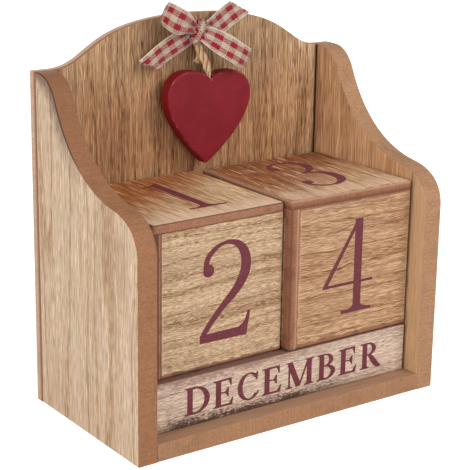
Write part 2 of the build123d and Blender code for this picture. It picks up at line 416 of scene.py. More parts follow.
def use_group(wiring, tree, **values):
    """Places a group, sets or joins its inputs, and returns its outputs."""
    node = wiring.put("Group", node_tree=tree)
    for label, value in values.items():
        wiring.join(value, node.inputs[label.replace("_", " ")])
    return node.outputs


def emptied(holder):
    """Wiring for a material or a world, without the nodes that it came with."""
    holder.use_nodes = True
    holder.node_tree.nodes.clear()
    return Wiring(holder.node_tree)


def new_finish(name):
    """A material, its wiring and its Principled shader."""
    material = bpy.data.materials.new(name)
    wiring = emptied(material)
    shader = wiring.put("BsdfPrincipled")
    wiring.put("OutputMaterial", shader.outputs[0])
    return material, wiring, shader


def lay_on(wiring, shader, colour, roughness, specular, relief=None, depth=0.06, strength=0.8):
    """Joins a finish to its shader. The relief's depth is in millimetres."""
    wiring.join(colour, shader.inputs["Base Color"])
    wiring.join(roughness, shader.inputs["Roughness"])
    shader.inputs["Specular IOR Level"].default_value = specular
    if relief is not None:
        bump = wiring.put("Bump")
        wiring.join(strength, bump.inputs["Strength"])
        wiring.join(depth * MM, bump.inputs["Distance"])
        wiring.join(relief, bump.inputs["Height"])
        wiring.join(bump.outputs[0], shader.inputs["Normal"])


# %% [markdown]
# ## Lamps and background
# The calendar stands under soft studio light. The key lamp is high, at the front right, so
# the heart and the bow throw soft shadows to the left and down on the back board. Three
# large, weaker lamps keep the front, the outer left side and the back from going dark. The
# background is white only for the rays that the eye follows, straight or off a gloss, so it
# throws no light of its own on the object.

# %% Studio
def area_lamp(name, place, size, power):
    """A square lamp that looks at the calendar's middle."""
    data = bpy.data.lights.new(name, "AREA")
    data.size = size
    data.energy = power
    lamp = bpy.data.objects.new(name, data)
    scene.collection.objects.link(lamp)
    lamp.location = place
    lamp.rotation_euler = (middle - Vector(place)).to_track_quat("-Z", "Y").to_euler()


area_lamp("key_lamp", (0.60, -0.90, 0.85), 0.45, 7.6)
area_lamp("left_fill", (-1.25, -0.35, 0.55), 1.0, 9.5)
area_lamp("front_fill", (-0.35, -1.5, 0.7), 1.2, 8.5)
area_lamp("back_fill", (0.55, 1.35, 0.30), 1.0, 9.0)


def seen_directly(wiring):
    """A value that is 1 for rays from the eye, from a mirror or through glass."""
    ray = wiring.put("LightPath").outputs
    seen = wiring.larger(ray["Is Camera Ray"], ray["Is Glossy Ray"])
    return wiring.larger(seen, ray["Is Transmission Ray"])


world = bpy.data.worlds.new("studio")
scene.world = world
sky = emptied(world)
ambient = sky.put("Background", (1.0, 0.985, 0.965, 1.0), 0.28)
white = sky.put("Background", (1.0, 1.0, 1.0, 1.0))
background = sky.put("MixShader", seen_directly(sky), ambient.outputs[0], white.outputs[0])
sky.put("OutputWorld", background.outputs[0])
scene.view_settings.view_transform = "Standard"

# %% [markdown]
# ## Floor
# A wide sheet of pale paper lies under the object. Lit by the lamps alone it would look grey
# before the white background. So it glows a little, again only for the rays that the eye
# follows, and the object's soft shadow still falls on it.

# %% Floor
floor_bmesh = bmesh.new()
bmesh.ops.create_circle(floor_bmesh, cap_ends=True, segments=96, radius=6.0)
floor_mesh = bpy.data.meshes.new("floor")
floor_bmesh.to_mesh(floor_mesh)
floor_bmesh.free()
floor = bpy.data.objects.new("floor", floor_mesh)
scene.collection.objects.link(floor)

floor_material = bpy.data.materials.new("floor_paper")
paper = emptied(floor_material)
matt = paper.put("BsdfDiffuse", (0.80, 0.80, 0.80, 1.0))
glow = paper.put("Emission")
paper.join(paper.times(seen_directly(paper), 0.74), glow.inputs["Strength"])
together = paper.put("AddShader", matt.outputs[0], glow.outputs[0])
paper.put("OutputMaterial", together.outputs[0])
floor_mesh.materials.append(floor_material)
print("floor", floor.dimensions[:], "m")

# %% [markdown]
# ## Veneer
# The boards and cubes are faced with a light, open-pored wood. Its figure has several
# scales: a line of late wood for each year, a few millimetres apart, long streaks and hair
# lines along the grain, short dark pores that crowd in the late wood, and pale flecks
# between them. An image would repeat and blur. Noise stretched along the grain gives each
# board its own figure at full sharpness. The growth rings come first: a noise along the
# grain bends them, and the darker end of each year breaks up here and there.

# %% Growth rings
veneer_grain, grain, given, result = effect_group(
    "veneer_grain",
    {
        "vector": ["Place"], "colour": ["Pale", "Middle", "Deep"],
        "value": [
            "Band Spacing", "Waviness", "Bands", "Streaks", "Pores", "Pore Width", "Pore Length", "Seed",
        ],
    },
    {"colour": ["Color"], "value": ["Height"]},
)
across, along, depth = grain.split(given["Place"])
layer = grain.times_plus(depth, 0.5, given["Seed"])


def stretched(first, second, shift, detail=2.0, roughness=0.5):
    """Noise in the board's plane, in a layer of its own. first and second are (value, scale)."""
    place = grain.packed(grain.times(*first), grain.times(*second), grain.plus(layer, shift))
    return grain.noise(place, detail, roughness)


drift = stretched((across, 0.03), (along, 0.013), 0.0)
ripple = stretched((across, 0.12), (along, 0.07), 1.0)
bend = grain.swayed(grain.times(grain.minus(drift, 0.5), given["Waviness"]), ripple, 1.6)
wavy = grain.plus(across, bend)
ring = grain.maths("DIVIDE", wavy, given["Band Spacing"])
wide_band = grain.fade(stretched((ring, 1.0), (along, 0.006), 2.0, 1.5), 0.44, 0.66)
uneven = stretched((ring, 0.8), (along, 0.005), 7.0, 1.0)
year = grain.maths("FRACT", grain.times_plus(uneven, 3.0, ring))
late_wood = grain.times(grain.fade(year, 0.66, 0.95), grain.fade(year, 1.0, 0.975))
broken = grain.fade(stretched((ring, 3.0), (along, 0.05), 8.0), 0.28, 0.52)
thin_band = grain.times(late_wood, grain.times_plus(broken, 0.6, 0.4))
band_share = grain.larger(grain.times(wide_band, 0.5), thin_band)
print("rings", len(veneer_grain.nodes), "nodes")

# %% [markdown]
# Pores are cut vessels. They show as short dark dashes and longer hair lines, a few tenths
# of a millimetre wide, and there are more of them in the late wood.

# %% Streaks and pores
streak = stretched((wavy, 0.9), (along, 0.022), 3.0, 3.0, 0.62)
pore_side = grain.maths("DIVIDE", wavy, given["Pore Width"])
pore_run = grain.maths("DIVIDE", along, given["Pore Length"])
hair = grain.fade(stretched((pore_side, 0.8), (pore_run, 0.22), 13.0, 1.0), 0.47, 0.58)
dash = grain.fade(stretched((pore_side, 1.0), (pore_run, 1.0), 5.0, 1.0), 0.47, 0.58)
fleck = grain.fade(stretched((pore_side, 0.9), (pore_run, 1.1), 11.0, 1.0), 0.50, 0.60)
cloud = grain.noise(given["Place"], scale=(0.05, 0.02, 0.05))
crowding = grain.times_plus(wide_band, 0.12, grain.times_plus(thin_band, 0.28, 0.60))
pore = grain.larger(dash, grain.times(hair, 0.75))
pore_share = grain.times(grain.times(pore, crowding), given["Pores"])
streak_share = grain.times(grain.fade(streak, 0.42, 0.66), given["Streaks"])

colour = grain.mix(grain.times(band_share, given["Bands"]), given["Pale"], given["Middle"])
colour = grain.over(colour, given["Middle"], streak_share)
colour = grain.over(colour, given["Pale"], fleck, 0.5)
colour = grain.over(colour, given["Deep"], pore_share)
colour = grain.shade(colour, grain.times_plus(cloud, 0.24, 0.88))
grain.join(colour, result["Color"])
grain.join(grain.times_plus(pore, -0.7, grain.times(streak, 0.5)), result["Height"])
print("veneer", len(veneer_grain.nodes), "nodes")

# %% [markdown]
# ## Raw fibreboard
# Where the boards are cut, their fibreboard core shows. It is brown and felted, and the
# sanding drum leaves fine lines straight across the thickness. Small specks and a few
# darker smudges keep it from looking like plastic.

# %% Fibreboard
fibreboard, fibre, given, result = effect_group(
    "fibreboard",
    {"vector": ["Place"], "colour": ["Core"], "value": ["Lines", "Smudges", "Seed"]},
    {"colour": ["Color"], "value": ["Height"]},
)
shifted = fibre.moved(given["Place"], fibre.packed(given["Seed"], given["Seed"], 0.0))
speck = fibre.fade(fibre.noise(shifted, 3.0, 0.7, scale=(1.3, 1.3, 1.0)), 0.36, 0.64)
sanding = fibre.noise(shifted, 1.0, scale=(2.0, 2.0, 0.06))
smudge = fibre.fade(fibre.noise(shifted, 3.0, 0.6, scale=(0.10, 0.10, 0.18)), 0.52, 0.72)
lined = fibre.swayed(fibre.times_plus(speck, 0.26, 0.87), sanding, given["Lines"])
colour = fibre.shade(given["Core"], lined)
colour = fibre.over(colour, paint(104, 66, 44), fibre.times(smudge, given["Smudges"]))
fibre.join(colour, result["Color"])
fibre.join(fibre.times_plus(sanding, 0.6, fibre.times(speck, 0.5)), result["Height"])
print("fibreboard", len(fibreboard.nodes), "nodes")

# %% [markdown]
# ## How far a point is from the rim of its panel
# Sanding wears the rim of a panel most: the veneer turns pale there, and at the very edge
# the core shows through. A bevel-shader trick would find edges by tracing rays, which is
# slow and grainy. The panels are plain rectangles, so the distance is simply worked out.

# %% Distance from the rim
rim_distance, rim, given, result = effect_group(
    "rim_distance", {"vector": ["Place"], "value": ["Width", "Length"]}, {"value": ["Distance"]},
)
across, along = rim.split(given["Place"])[:2]
near_side = rim.smaller(across, rim.minus(given["Width"], across))
near_end = rim.smaller(along, rim.minus(given["Length"], along))
rim.join(rim.smaller(near_side, near_end), result["Distance"])
print("groups", [tree.name for tree in bpy.data.node_groups])

# %% [markdown]
# ## Finishing one board
# A board has three directions of its own: across the grain, along the grain, and through
# its thickness. Three dot products turn Object coordinates into millimetres along them. A
# Mapping node could do that too, but not where the three directions are left-handed. The
# surface normal tells face from edge: a face shows veneer, an edge shows fibreboard, and
# the rounded arris between them fades from one to the other, as real sanding does.

# %% Board directions
right_way = Vector((1, 0, 0))
back_way = Vector((0, 1, 0))
up_way = Vector((0, 0, 1))


def board_place(wiring, corner, across, along, through):
    """Millimetres from a corner (across the grain, along it, through the board), and the normal."""
    source = wiring.put("TexCoord")
    from_corner = wiring.moved(source.outputs["Object"], tuple(-Vector(corner)))
    from_corner = wiring.scaled(from_corner, (1 / MM,) * 3)
    place = wiring.packed(*[wiring.dot(from_corner, way) for way in (across, along, through)])
    return place, source.outputs["Normal"]


def figure(spacing, waviness, bands, streaks, pores, width, length, seed):
    """A veneer figure. Spacing, waviness, and the pores' width and length are millimetres."""
    return dict(
        Band_Spacing=spacing, Waviness=waviness, Bands=bands, Streaks=streaks, Pores=pores,
        Pore_Width=width, Pore_Length=length, Seed=seed,
    )


def give_finish(node, material):
    """The only material of a CAD node."""
    mesh = nodes[node].data
    mesh.materials.clear()
    mesh.materials.append(material)
    print(node, "is finished in", material.name)


# %% [markdown]
# ## Boards of the cradle
# The side boards and the back run their grain upright. The left board's outer face is paler
# than the rest, partly paler wood and partly painted light from the left. The inner faces and
# the back are browner, with close dark lines; the right board's inner face takes a lighter copy
# of that brown, painted light. Each board gets its own seed, so no two show the same figure.
#
# Two masks go over the bare finish. Where the sides meet the back board, an open joint shows
# as a dark line, with dust and painted shade from the corner beside it. Finger dirt has
# gathered where the veneer of the left board ends at its crest, the top of its scalloped front.
# The mask for it is a strip along the crest's slope. The square of the distance from the crest
# bends it over above the crest, and a little the other way below, and noise makes it ragged.

# %% Joint shade and crest dirt
crest_at = (62.5, 134.5)        # millimetres: middle of the crest, from the front and from the table
crest_lean = math.radians(24.8)
crest_bend = 0.037              # how fast the dirty strip bends over above the crest, per millimetre
hollow_bend = 0.0037            # and below it
joint_and_shade_dark = paint(70, 38, 20)
dirt_brown = paint(98, 68, 52)
arris_brown = paint(78, 50, 38)
crest_shade_core = paint(120, 78, 50)
seam_glue = paint(150, 102, 70)


def open_joint(wiring, across, facing, meeting, joints):
    """A dark line at each joint, and dust with painted shade beside it, on the face that meets the other
    board.
    """
    nearest = 100.0
    for joint in joints:
        nearest = wiring.smaller(wiring.unsigned(wiring.minus(across, joint)), nearest)
    # Beside the joint, a few millimetres of painted shade from the corner, with some dust.
    dust_and_shade = wiring.times(wiring.fade(nearest, 4.5, 0.5), 0.30)
    line = wiring.larger(wiring.fade(nearest, 1.0, 0.5), dust_and_shade)
    return wiring.times(line, wiring.fade(facing, 0.3 * meeting, 0.6 * meeting))


def with_crest_dirt(wiring, place, facing, colour):
    """Adds a smear below the crest of the outer face, and dirt along the arris there."""
    outer = wiring.fade(facing, -0.05, -0.25)
    from_crest = wiring.moved(place, (-crest_at[0], -crest_at[1], 0.0))
    inward = wiring.dot(from_crest, (math.cos(crest_lean), -math.sin(crest_lean), 0.0))
    upward = wiring.dot(from_crest, (math.sin(crest_lean), math.cos(crest_lean), 0.0))
    over_top = wiring.maths("POWER", wiring.larger(upward, 0.0), 2.0)
    in_hollow = wiring.maths("POWER", wiring.smaller(upward, 0.0), 2.0)
    inward = wiring.times_plus(over_top, -crest_bend, inward)
    inward = wiring.times_plus(in_hollow, hollow_bend, inward)
    ragged = wiring.noise(place, 3.0, 0.7, scale=(0.30, 0.16, 0.16))
    inward = wiring.swayed(inward, ragged, -9.0)
    near_crest = wiring.times(wiring.fade(upward, -42.0, 4.0), outer)
    smear = wiring.times(wiring.fade(inward, 9.0, 0.5), near_crest)
    colour = wiring.over(colour, dirt_brown, smear, 0.765)
    flatness = wiring.unsigned(facing)
    arris = wiring.times(wiring.fade(flatness, 0.15, 0.5), wiring.fade(flatness, 0.999, 0.97))
    arris = wiring.times(arris, wiring.times(wiring.fade(upward, -38.0, -18.0), outer))
    return wiring.over(colour, arris_brown, arris, 0.9)


# %% [markdown]
# One function finishes all four boards. What only one of them has is an option: a pale strip
# along the front, painted light where the inner face opens to the room, places painted
# lighter, and a line of glue in the edge where the back board lies on the sides. A lightened
# place is the same wood with more of each colour, so its grain stays, where a pale paint over it would hide
# the grain.

# %% Cradle finish
def cradle_finish(
    name, corner, ways, faces, figures, core, crest=False, front_light_strip=None, lightened=(), seam=False, gap=None,
):
    """Veneer on both faces of a board, in colours and figures of their own, and fibreboard edges.

    The face that looks along the thickness takes the first of each pair, the other the second.
    front_light_strip is the colour of a pale strip along the front, painted light. faded lists places
    painted lighter as way, start, end, and how much red, green and blue they gain. gap gives
    which face meets another board, 1 or -1, and how far across it the joints are.
    """
    material, wiring, shader = new_finish(name)
    place, normal = board_place(wiring, corner, *ways)
    facing = wiring.dot(normal, ways[2])
    steps = wiring.split(place)
    across, along, through = steps
    first_face = wiring.fade(facing, -0.1, 0.1)
    colours = {
        label: wiring.mix(first_face, other, first)
        for label, first, other in zip(("Pale", "Middle", "Deep"), *faces)
    }
    first, other = figures
    shares = {
        label: wiring.times_plus(first_face, first[label] - other[label], other[label])
        for label in first
    }
    wood = use_group(wiring, veneer_grain, Place=place, **colours, **shares)
    edge = use_group(wiring, fibreboard, Place=place, Core=core, Lines=0.5, Smudges=0.22, Seed=shares["Seed"])
    colour, edge_colour = wood["Color"], edge["Color"]
    # A pale strip along the front of the inner face, painted light where it opens to the room.
    if front_light_strip:
        colour = wiring.over(colour, front_light_strip, wiring.fade(across, 10.5, 6.0), 0.6)
    # Places painted lighter: painted light against the corner's shade by the back board's right joint, and
    # lighter wood towards its top.
    for way, start, end, gains in lightened:
        colour = wiring.over(colour, wiring.scaled(colour, gains), wiring.fade(steps[way], start, end))
    if gap:
        # the open joint's dark line, with dust and painted corner shade beside it
        colour = wiring.over(colour, joint_and_shade_dark, open_joint(wiring, across, facing, *gap))
    if crest:
        # The edge is painted darker towards the crest: painted shade on the curve of the scallop.
        near_crest = wiring.times(wiring.fade(along, 100.0, 130.0), 0.48)
        edge_colour = wiring.over(edge_colour, crest_shade_core, near_crest)
    if seam:
        edge_colour = wiring.over(edge_colour, seam_glue, wiring.fade(through, 2.4, 0.5))
    veneered = wiring.fade(wiring.unsigned(facing), 0.72, 0.93)
    colour = wiring.mix(veneered, edge_colour, colour)
    if crest:
        colour = with_crest_dirt(wiring, place, facing, colour)
    height = wiring.mix(veneered, edge["Height"], wood["Height"])
    lay_on(wiring, shader, colour, wiring.times_plus(veneered, -0.16, 0.78), 0.3, height)
    return material


# %% [markdown]
# The back board is painted lighter towards its top, and lighter still by its right joint, as
# painted light against the shade in that corner. The base board shows little more than its
# front edge, so its faces have a faint figure in three plain browns.

# %% Cradle boards
# Pale wood for the outer faces; on the left board it is partly painted light from the left.
pale_wood = (paint(242, 216, 187), paint(208, 172, 133), paint(134, 94, 60))
brown_wood = (paint(206, 160, 116), paint(166, 116, 72), paint(104, 60, 32))
# A lighter copy of the brown wood, painted light, for the right board's inner face.
lit_inner_wood = (paint(230, 184, 138), paint(192, 143, 98), paint(118, 72, 40))
back_wood = (paint(206, 159, 114), paint(150, 101, 61), paint(84, 44, 22))
plain_wood = (paint(172, 136, 108), paint(162, 124, 96), paint(150, 112, 84))
outside = figure(13, 6, 1.0, 0.75, 0.85, 0.28, 7.0, 2.0)
inside = figure(9, 5, 0.5, 0.7, 0.85, 0.30, 13.0, 2.0)
back_front = figure(10, 4, 0.6, 0.8, 1.0, 0.28, 7.0, 12.0)
left_core = paint(152, 105, 73)
right_core = paint(167, 126, 93)
back_core = paint(204, 170, 146)
base_core = paint(162, 119, 87)
# the pale strip along the right board's inner front, painted light
front_light_wood = paint(206, 170, 130)
side_ways = (back_way, up_way, right_way)
side_depth = 79.0               # millimetres from the front to the joint with the back board
side_joints = (9.0, 146.0)      # millimetres across the back board to the sides' inner faces

give_finish("left_side", cradle_finish(
    "left_side_board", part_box("left_side")[0], side_ways, (brown_wood, pale_wood), (inside, outside),
    left_core, crest=True, gap=(1, (side_depth,)),
))
give_finish("right_side", cradle_finish(
    "right_side_board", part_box("right_side")[0], side_ways, (pale_wood, lit_inner_wood),
    (dict(outside, Seed=31.0), dict(inside, Seed=31.0)), right_core,
    front_light_strip=front_light_wood, gap=(-1, (side_depth,)),
))
give_finish("back_board", cradle_finish(
    "back_board_wood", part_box("back_board")[0], (right_way, up_way, back_way), (brown_wood, back_wood),
    (dict(inside, Seed=12.0), back_front), back_core, seam=True, gap=(-1, side_joints),
    # painted light by the right joint, and lighter towards the top
    lightened=[(0, 126.0, 140.0, (1.50, 1.76, 2.00)), (1, 112.0, 156.0, (1.03, 1.17, 1.34))],
))
give_finish("base_board", cradle_finish(
    "base_board_wood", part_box("base_board")[0], (back_way, right_way, up_way),
    (plain_wood, plain_wood), (dict(inside, Seed=54.0), dict(inside, Seed=54.0)), base_core,
))

# %% [markdown]
# ## Panels of the cubes
# Each cube is glued from six panels. The top lies over the walls, so its brown edge runs
# round the cube as a band, and each wall shows the end of its neighbour as a strip. The
# left cube kept crisp edges, and the right one was sanded rounder, so more of its core
# shows. The tops are paler wood than the walls, with longer pores. A look holds the colours
# and the wear of one cube, and a function gives the three directions of every panel.

# %% Cube panels
panel_depth = 4.0               # millimetres, as on the real panels
left_turn = math.radians(1.4)
cube_boxes = {                  # edge, pivot, turn, millimetres from the pivot to the left wall
    "left_cube_": (65.0, Vector((1.4, -29.2, 29.1)) * MM, left_turn, 65.0),
    "right_cube_": (66.0, Vector((2.0, -33.3, 29.1)) * MM, 0.0, 0.0),
}
left_look = dict(
    wall=(paint(230, 199, 163), paint(180, 140, 101), paint(114, 76, 46)), wall_pores=(0.25, 2.6),
    top=(paint(255, 224, 180), paint(213, 163, 116), paint(130, 84, 50)), top_pores=(0.40, 8.0),
    core=paint(154, 106, 79), bare_rim=0.25, foot=1.9,
    stain=paint(202, 152, 110), stain_reach=(-2.0, 34.0), scratches=0.60, bleached=0.66,
)
right_look = dict(
    wall=(paint(218, 178, 138), paint(166, 120, 80), paint(104, 63, 35)), wall_pores=(0.26, 4.4),
    top=(paint(246, 204, 160), paint(192, 140, 94), paint(104, 62, 34)), top_pores=(0.40, 8.0),
    core=paint(147, 99, 71), bare_rim=0.9, foot=2.4,
    stain=paint(184, 142, 112), stain_reach=(-12.0, 30.0), scratches=0.80, bleached=0.44,
)

rubbed_wall_rim = 4.4           # millimetres, where the right cube's left wall rubs on its neighbour
scratched_wood = paint(250, 222, 190)
bleached_wood = paint(240, 204, 176)
rim_wood = paint(206, 174, 146)
foot_shade_dark = paint(52, 26, 16)
end_shade_dark = paint(72, 38, 26)
glue_and_shade_dark = paint(84, 50, 38)
shaded_core = paint(98, 58, 42)
rubbed_core = paint(190, 150, 122)


def panel_ways(side, size):
    """Lowest corner of a panel, its ways across, along and out, its width and length."""
    rim_at = size - panel_depth
    x, y, z = right_way, back_way, up_way
    ways = {
        "top": ((0, 0, rim_at), (x, y, z), size, size),
        "bottom": ((panel_depth, panel_depth, 0), (x, y, -z), rim_at, rim_at),
        "front": ((panel_depth, 0, 0), (z, x, -y), rim_at, rim_at),
        "back": ((0, rim_at, 0), (z, x, y), rim_at, rim_at),
        "right": ((rim_at, panel_depth, 0), (z, y, x), rim_at, rim_at),
        "left": ((0, 0, 0), (z, y, -x), rim_at, rim_at),
    }
    return ways[side]


def cube_corner(cube):
    """How a cube is turned, and where its lowest, left, front corner stands."""
    pivot, angle, reach = cube_boxes[cube][1:]
    turn = Matrix.Rotation(angle, 3, "Z")
    return turn, pivot + turn @ Vector((-reach, 0, 0)) * MM


# %% [markdown]
# Years on a sunny desk changed the tops. Their near ends are bleached, and a brown stain
# with pale scratches in it covers their far left corners. The walls are rubbed bare along
# their feet. Noise makes the borders of all this wear ragged. Only the painted shade is
# straight: a dark line along each foot, where a cube stands on its bar, and one at the end
# of the right cube's front, by the side board.

# %% Weathered tops, bare rims
def weathered(wiring, place, colour, look, seed):
    """Brown stain with pale scratches in it, and a bleached near end."""
    across, along = wiring.split(place)[:2]
    blotch = wiring.noise(place, 3.0, 0.6, scale=(0.16, 0.035, 0.05), shift=(seed, 3, 0))
    reach = wiring.swayed(along, blotch, 34.0)
    inward = wiring.times_plus(across, -0.55, reach)
    stain = wiring.mix(1.0, colour, look["stain"], "MULTIPLY")
    colour = wiring.over(colour, stain, wiring.fade(inward, *look["stain_reach"]))
    scratch = wiring.noise(place, 1.0, scale=(1.7, 0.07, 0.05), shift=(seed, 8, 0))
    scratch = wiring.times(wiring.fade(scratch, 0.63, 0.68), wiring.fade(inward, -6.0, 14.0))
    colour = wiring.over(colour, scratched_wood, scratch, look["scratches"])
    bleached = wiring.times(wiring.fade(reach, 17.0, 3.0), look["bleached"])
    return wiring.over(colour, bleached_wood, bleached)


def bare_rims(wiring, place, colour, core, look, side, width, length, seed):
    """A pale, then bare rim all round a face. A wall is also bare along its foot, with painted shade at its
    very edge.
    """
    across, along = wiring.split(place)[:2]
    ragged = wiring.noise(place, 3.0, 0.65, scale=(0.22, 0.22, 0.22), shift=(seed, 0, 0))
    distance = use_group(wiring, rim_distance, Place=place, Width=width, Length=length)[0]
    worn = wiring.swayed(distance, ragged, -2.6)
    bare = rubbed_wall_rim if look is right_look and side == "left" else look["bare_rim"]
    pale_rim = wiring.times(wiring.fade(worn, bare + 1.4, bare), 0.30)
    colour = wiring.over(colour, rim_wood, pale_rim)
    colour = wiring.over(colour, core, wiring.fade(worn, bare + 0.25, bare - 0.55))
    if side not in ("top", "bottom"):
        rubbed = wiring.swayed(across, ragged, -3.0)
        foot = look["foot"]
        colour = wiring.over(colour, core, wiring.fade(rubbed, foot + 0.3, foot - 0.3))
        # Painted shade along the very foot of a wall, where it stands on its bar.
        colour = wiring.over(colour, foot_shade_dark, wiring.fade(across, 1.05, 0.6))
    # Painted shade at the right end of the right cube's front, by the side board.
    if side == "front" and look is right_look:
        from_end = wiring.minus(length, along)
        colour = wiring.over(colour, end_shade_dark, wiring.fade(from_end, 1.5, 0.8))
    return colour


# %% [markdown]
# Panel edges differ too. On the left cube a line of dark glue shows where a panel lies on
# its neighbours, and another dark line where its veneer ends; on its left wall that line is
# wide, painted shade from the side board. The right cube's top has an edge that is rubbed
# pale near its face and shadowed towards the joint. Its walls have it the other way round:
# their outer side is the dark one, next to the gap between the cubes.

# %% Panel edges
def lined_edge(wiring, through, colour, look, side):
    """The edge of a panel: glue and arris lines, or a shadow and a rubbed side."""
    from_face = wiring.minus(panel_depth, through)
    if look is left_look:
        glue_line = wiring.fade(wiring.unsigned(wiring.minus(from_face, 3.9)), 0.5, 0.15)
        # On the left wall the line is wide: painted shade from the side board.
        arris = {"top": 0.55, "left": 2.7}.get(side, -1.0)
        arris_and_shade_line = wiring.fade(from_face, arris + 0.2, arris - 0.2)
        line = wiring.times(wiring.larger(glue_line, arris_and_shade_line), 0.85)
        return wiring.over(colour, glue_and_shade_dark, line)
    dark_at, rubbed_at = ((1.6, 3.8), (1.5, 0.3)) if side == "top" else ((2.0, 0.2), (2.6, 3.8))
    colour = wiring.over(colour, shaded_core, wiring.fade(from_face, *dark_at), 0.75)
    return wiring.over(colour, rubbed_core, wiring.fade(from_face, *rubbed_at), 0.65)


def cube_finish(name, side, corner, ways, width, length, look, seed):
    """Veneer face with a bare rim, and fibreboard on the edges."""
    material, wiring, shader = new_finish(name)
    place, normal = board_place(wiring, corner, *ways)
    kind = "top" if side == "top" else "wall"
    wood = use_group(
        wiring, veneer_grain, Place=place, **dict(zip(("Pale", "Middle", "Deep"), look[kind])),
        **figure(6.5, 6, 0.9, 0.45, 1.0, *look[kind + "_pores"], seed),
    )
    edge = use_group(wiring, fibreboard, Place=place, Core=look["core"], Lines=0.25, Smudges=0.65, Seed=seed)
    colour = wood["Color"]
    if side == "top":
        colour = weathered(wiring, place, colour, look, seed)
    colour = bare_rims(wiring, place, colour, edge["Color"], look, side, width, length, seed)
    edge_colour = lined_edge(wiring, wiring.split(place)[2], edge["Color"], look, side)
    veneered = wiring.fade(wiring.unsigned(wiring.dot(normal, ways[2])), 0.78, 0.95)
    colour = wiring.mix(veneered, edge_colour, colour)
    height = wiring.mix(veneered, edge["Height"], wood["Height"])
    lay_on(wiring, shader, colour, wiring.times_plus(veneered, -0.12, 0.74), 0.3, height)
    return material


cube_seed = 100.0
for cube, look in (("left_cube_", left_look), ("right_cube_", right_look)):
    turn, lowest = cube_corner(cube)
    for side in ("top", "bottom", "front", "back", "right", "left"):
        start, ways, width, length = panel_ways(side, cube_boxes[cube][0])
        corner = lowest + turn @ Vector(start) * MM
        if side in ("bottom", "front", "left"):
            corner = corner - (turn @ ways[2]) * panel_depth * MM
        cube_seed += 17.3
        ways = tuple(turn @ way for way in ways)
        give_finish(cube + side, cube_finish(
            cube + side + "_wood", side, corner, ways, width, length, look, cube_seed,
        ))

# %% [markdown]
# ## Month bars
# The bars are painted with a thin whitewash that the grain shows through. Years of handling
# and some deliberate ageing leave brown grime along the lower edge and a rosy grey along the
# upper one. The wash is a mask over the veneer, streaked along the grain and patchy. A dark
# line at both ends of a face is painted shade, where the bar meets the side boards. The top
# is painted darker towards its front, as painted shade at the feet of the cubes.

# %% Whitewashed bars
bar_side = 21.5                 # millimetres
bar_length = 135.8
bar_wood = {"Pale": paint(214, 188, 166), "Middle": paint(188, 156, 132), "Deep": paint(96, 64, 48)}
wash_white = paint(232, 207, 186)
grime_brown = paint(74, 47, 38)
rosy_grey = paint(148, 112, 98)
end_shade_brown = paint(66, 40, 30)
top_shade_brown = paint(104, 72, 62)


def bar_finish(name, corner, seed):
    """Whitewash over open grain, for a bar whose grain runs along X."""
    material, wiring, shader = new_finish(name)
    place, normal = board_place(wiring, corner, up_way, right_way, back_way)
    height, along, depth = wiring.split(place)
    round_place = wiring.packed(wiring.plus(height, depth), along, wiring.times(depth, 0.2))
    wood = use_group(
        wiring, veneer_grain, Place=round_place, **bar_wood,
        **figure(4.5, 2.5, 0.5, 0.7, 1.0, 0.36, 4.0, seed),
    )

    def face_noise(up_scale, along_scale, shift, detail=3.0, roughness=0.6):
        """Noise on the bar's faces, in a layer of its own."""
        up, right = wiring.times(height, up_scale), wiring.times(along, along_scale)
        return wiring.noise(wiring.packed(up, right, wiring.plus(depth, shift)), detail, roughness)

    brushed = wiring.fade(face_noise(0.9, 0.035, seed), 0.32, 0.62)
    patchy = wiring.noise(place, 3.0, 0.6, scale=(0.10, 0.035, 0.10), shift=(seed, 0, 0))
    wash = wiring.times_plus(brushed, 0.42, wiring.times(patchy, 0.42))
    colour = wiring.over(wood["Color"], wash_white, wash)
    colour = wiring.shade(colour, wiring.times_plus(wood["Height"], 0.34, 1.0))

    ragged = face_noise(0.45, 0.09, seed + 9)
    speckled = wiring.minus(face_noise(1.9, 0.55, seed + 4, 2.0, 0.7), 0.5)
    uneven = wiring.swayed(wiring.times(speckled, 13.0), ragged, 9.0)
    low_edge = wiring.fade(wiring.plus(height, uneven), 5.0, 1.0)
    handled = wiring.times(wiring.fade(along, 124.0, 70.0), wiring.fade(along, -6.0, 16.0))
    grime = wiring.times(low_edge, wiring.times_plus(handled, 0.78, 0.20))
    colour = wiring.over(colour, grime_brown, grime)
    high_edge = wiring.fade(wiring.plus(wiring.minus(bar_side, height), uneven), 4.6, 0.4)
    stained = wiring.times_plus(wiring.fade(along, 120.0, 50.0), 0.62, 0.22)
    colour = wiring.over(colour, rosy_grey, wiring.times(high_edge, stained))

    # Painted shade at both ends of each long face, where the bar meets the side boards.
    from_end = wiring.smaller(along, wiring.minus(bar_length, along))
    long_face = wiring.fade(wiring.unsigned(wiring.dot(normal, right_way)), 0.6, 0.3)
    end_shade_line = wiring.times(wiring.fade(from_end, 1.7, 1.1), long_face)
    colour = wiring.over(colour, end_shade_brown, end_shade_line)
    # The top is painted darker towards its front: painted shade at the cubes' feet, made uneven by noise.
    top_face = wiring.fade(wiring.dot(normal, up_way), 0.6, 0.95)
    top_shade = wiring.times_plus(wiring.fade(depth, 12.5, 7.5), 0.52, 0.26)
    top_shade = wiring.times_plus(speckled, 0.9, top_shade)
    colour = wiring.over(colour, top_shade_brown, wiring.times(top_face, top_shade))
    lay_on(wiring, shader, colour, wiring.times_plus(wash, 0.12, 0.62), 0.3, wood["Height"])
    return material


bar_names = ("front_month_bar", "middle_month_bar", "rear_month_bar")
for index, bar_name in enumerate(bar_names):
    give_finish(bar_name, bar_finish(bar_name + "_wash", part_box(bar_name)[0], 211.0 + 13.7 * index))

# %% [markdown]
# ## Heart paint, steel, ink and jute
# The heart's red paint is smooth and slightly uneven, and rubbed thin along its arris, where
# a pale line shows. The arris is where the surface faces neither front nor side, so the
# normal finds it without any map.

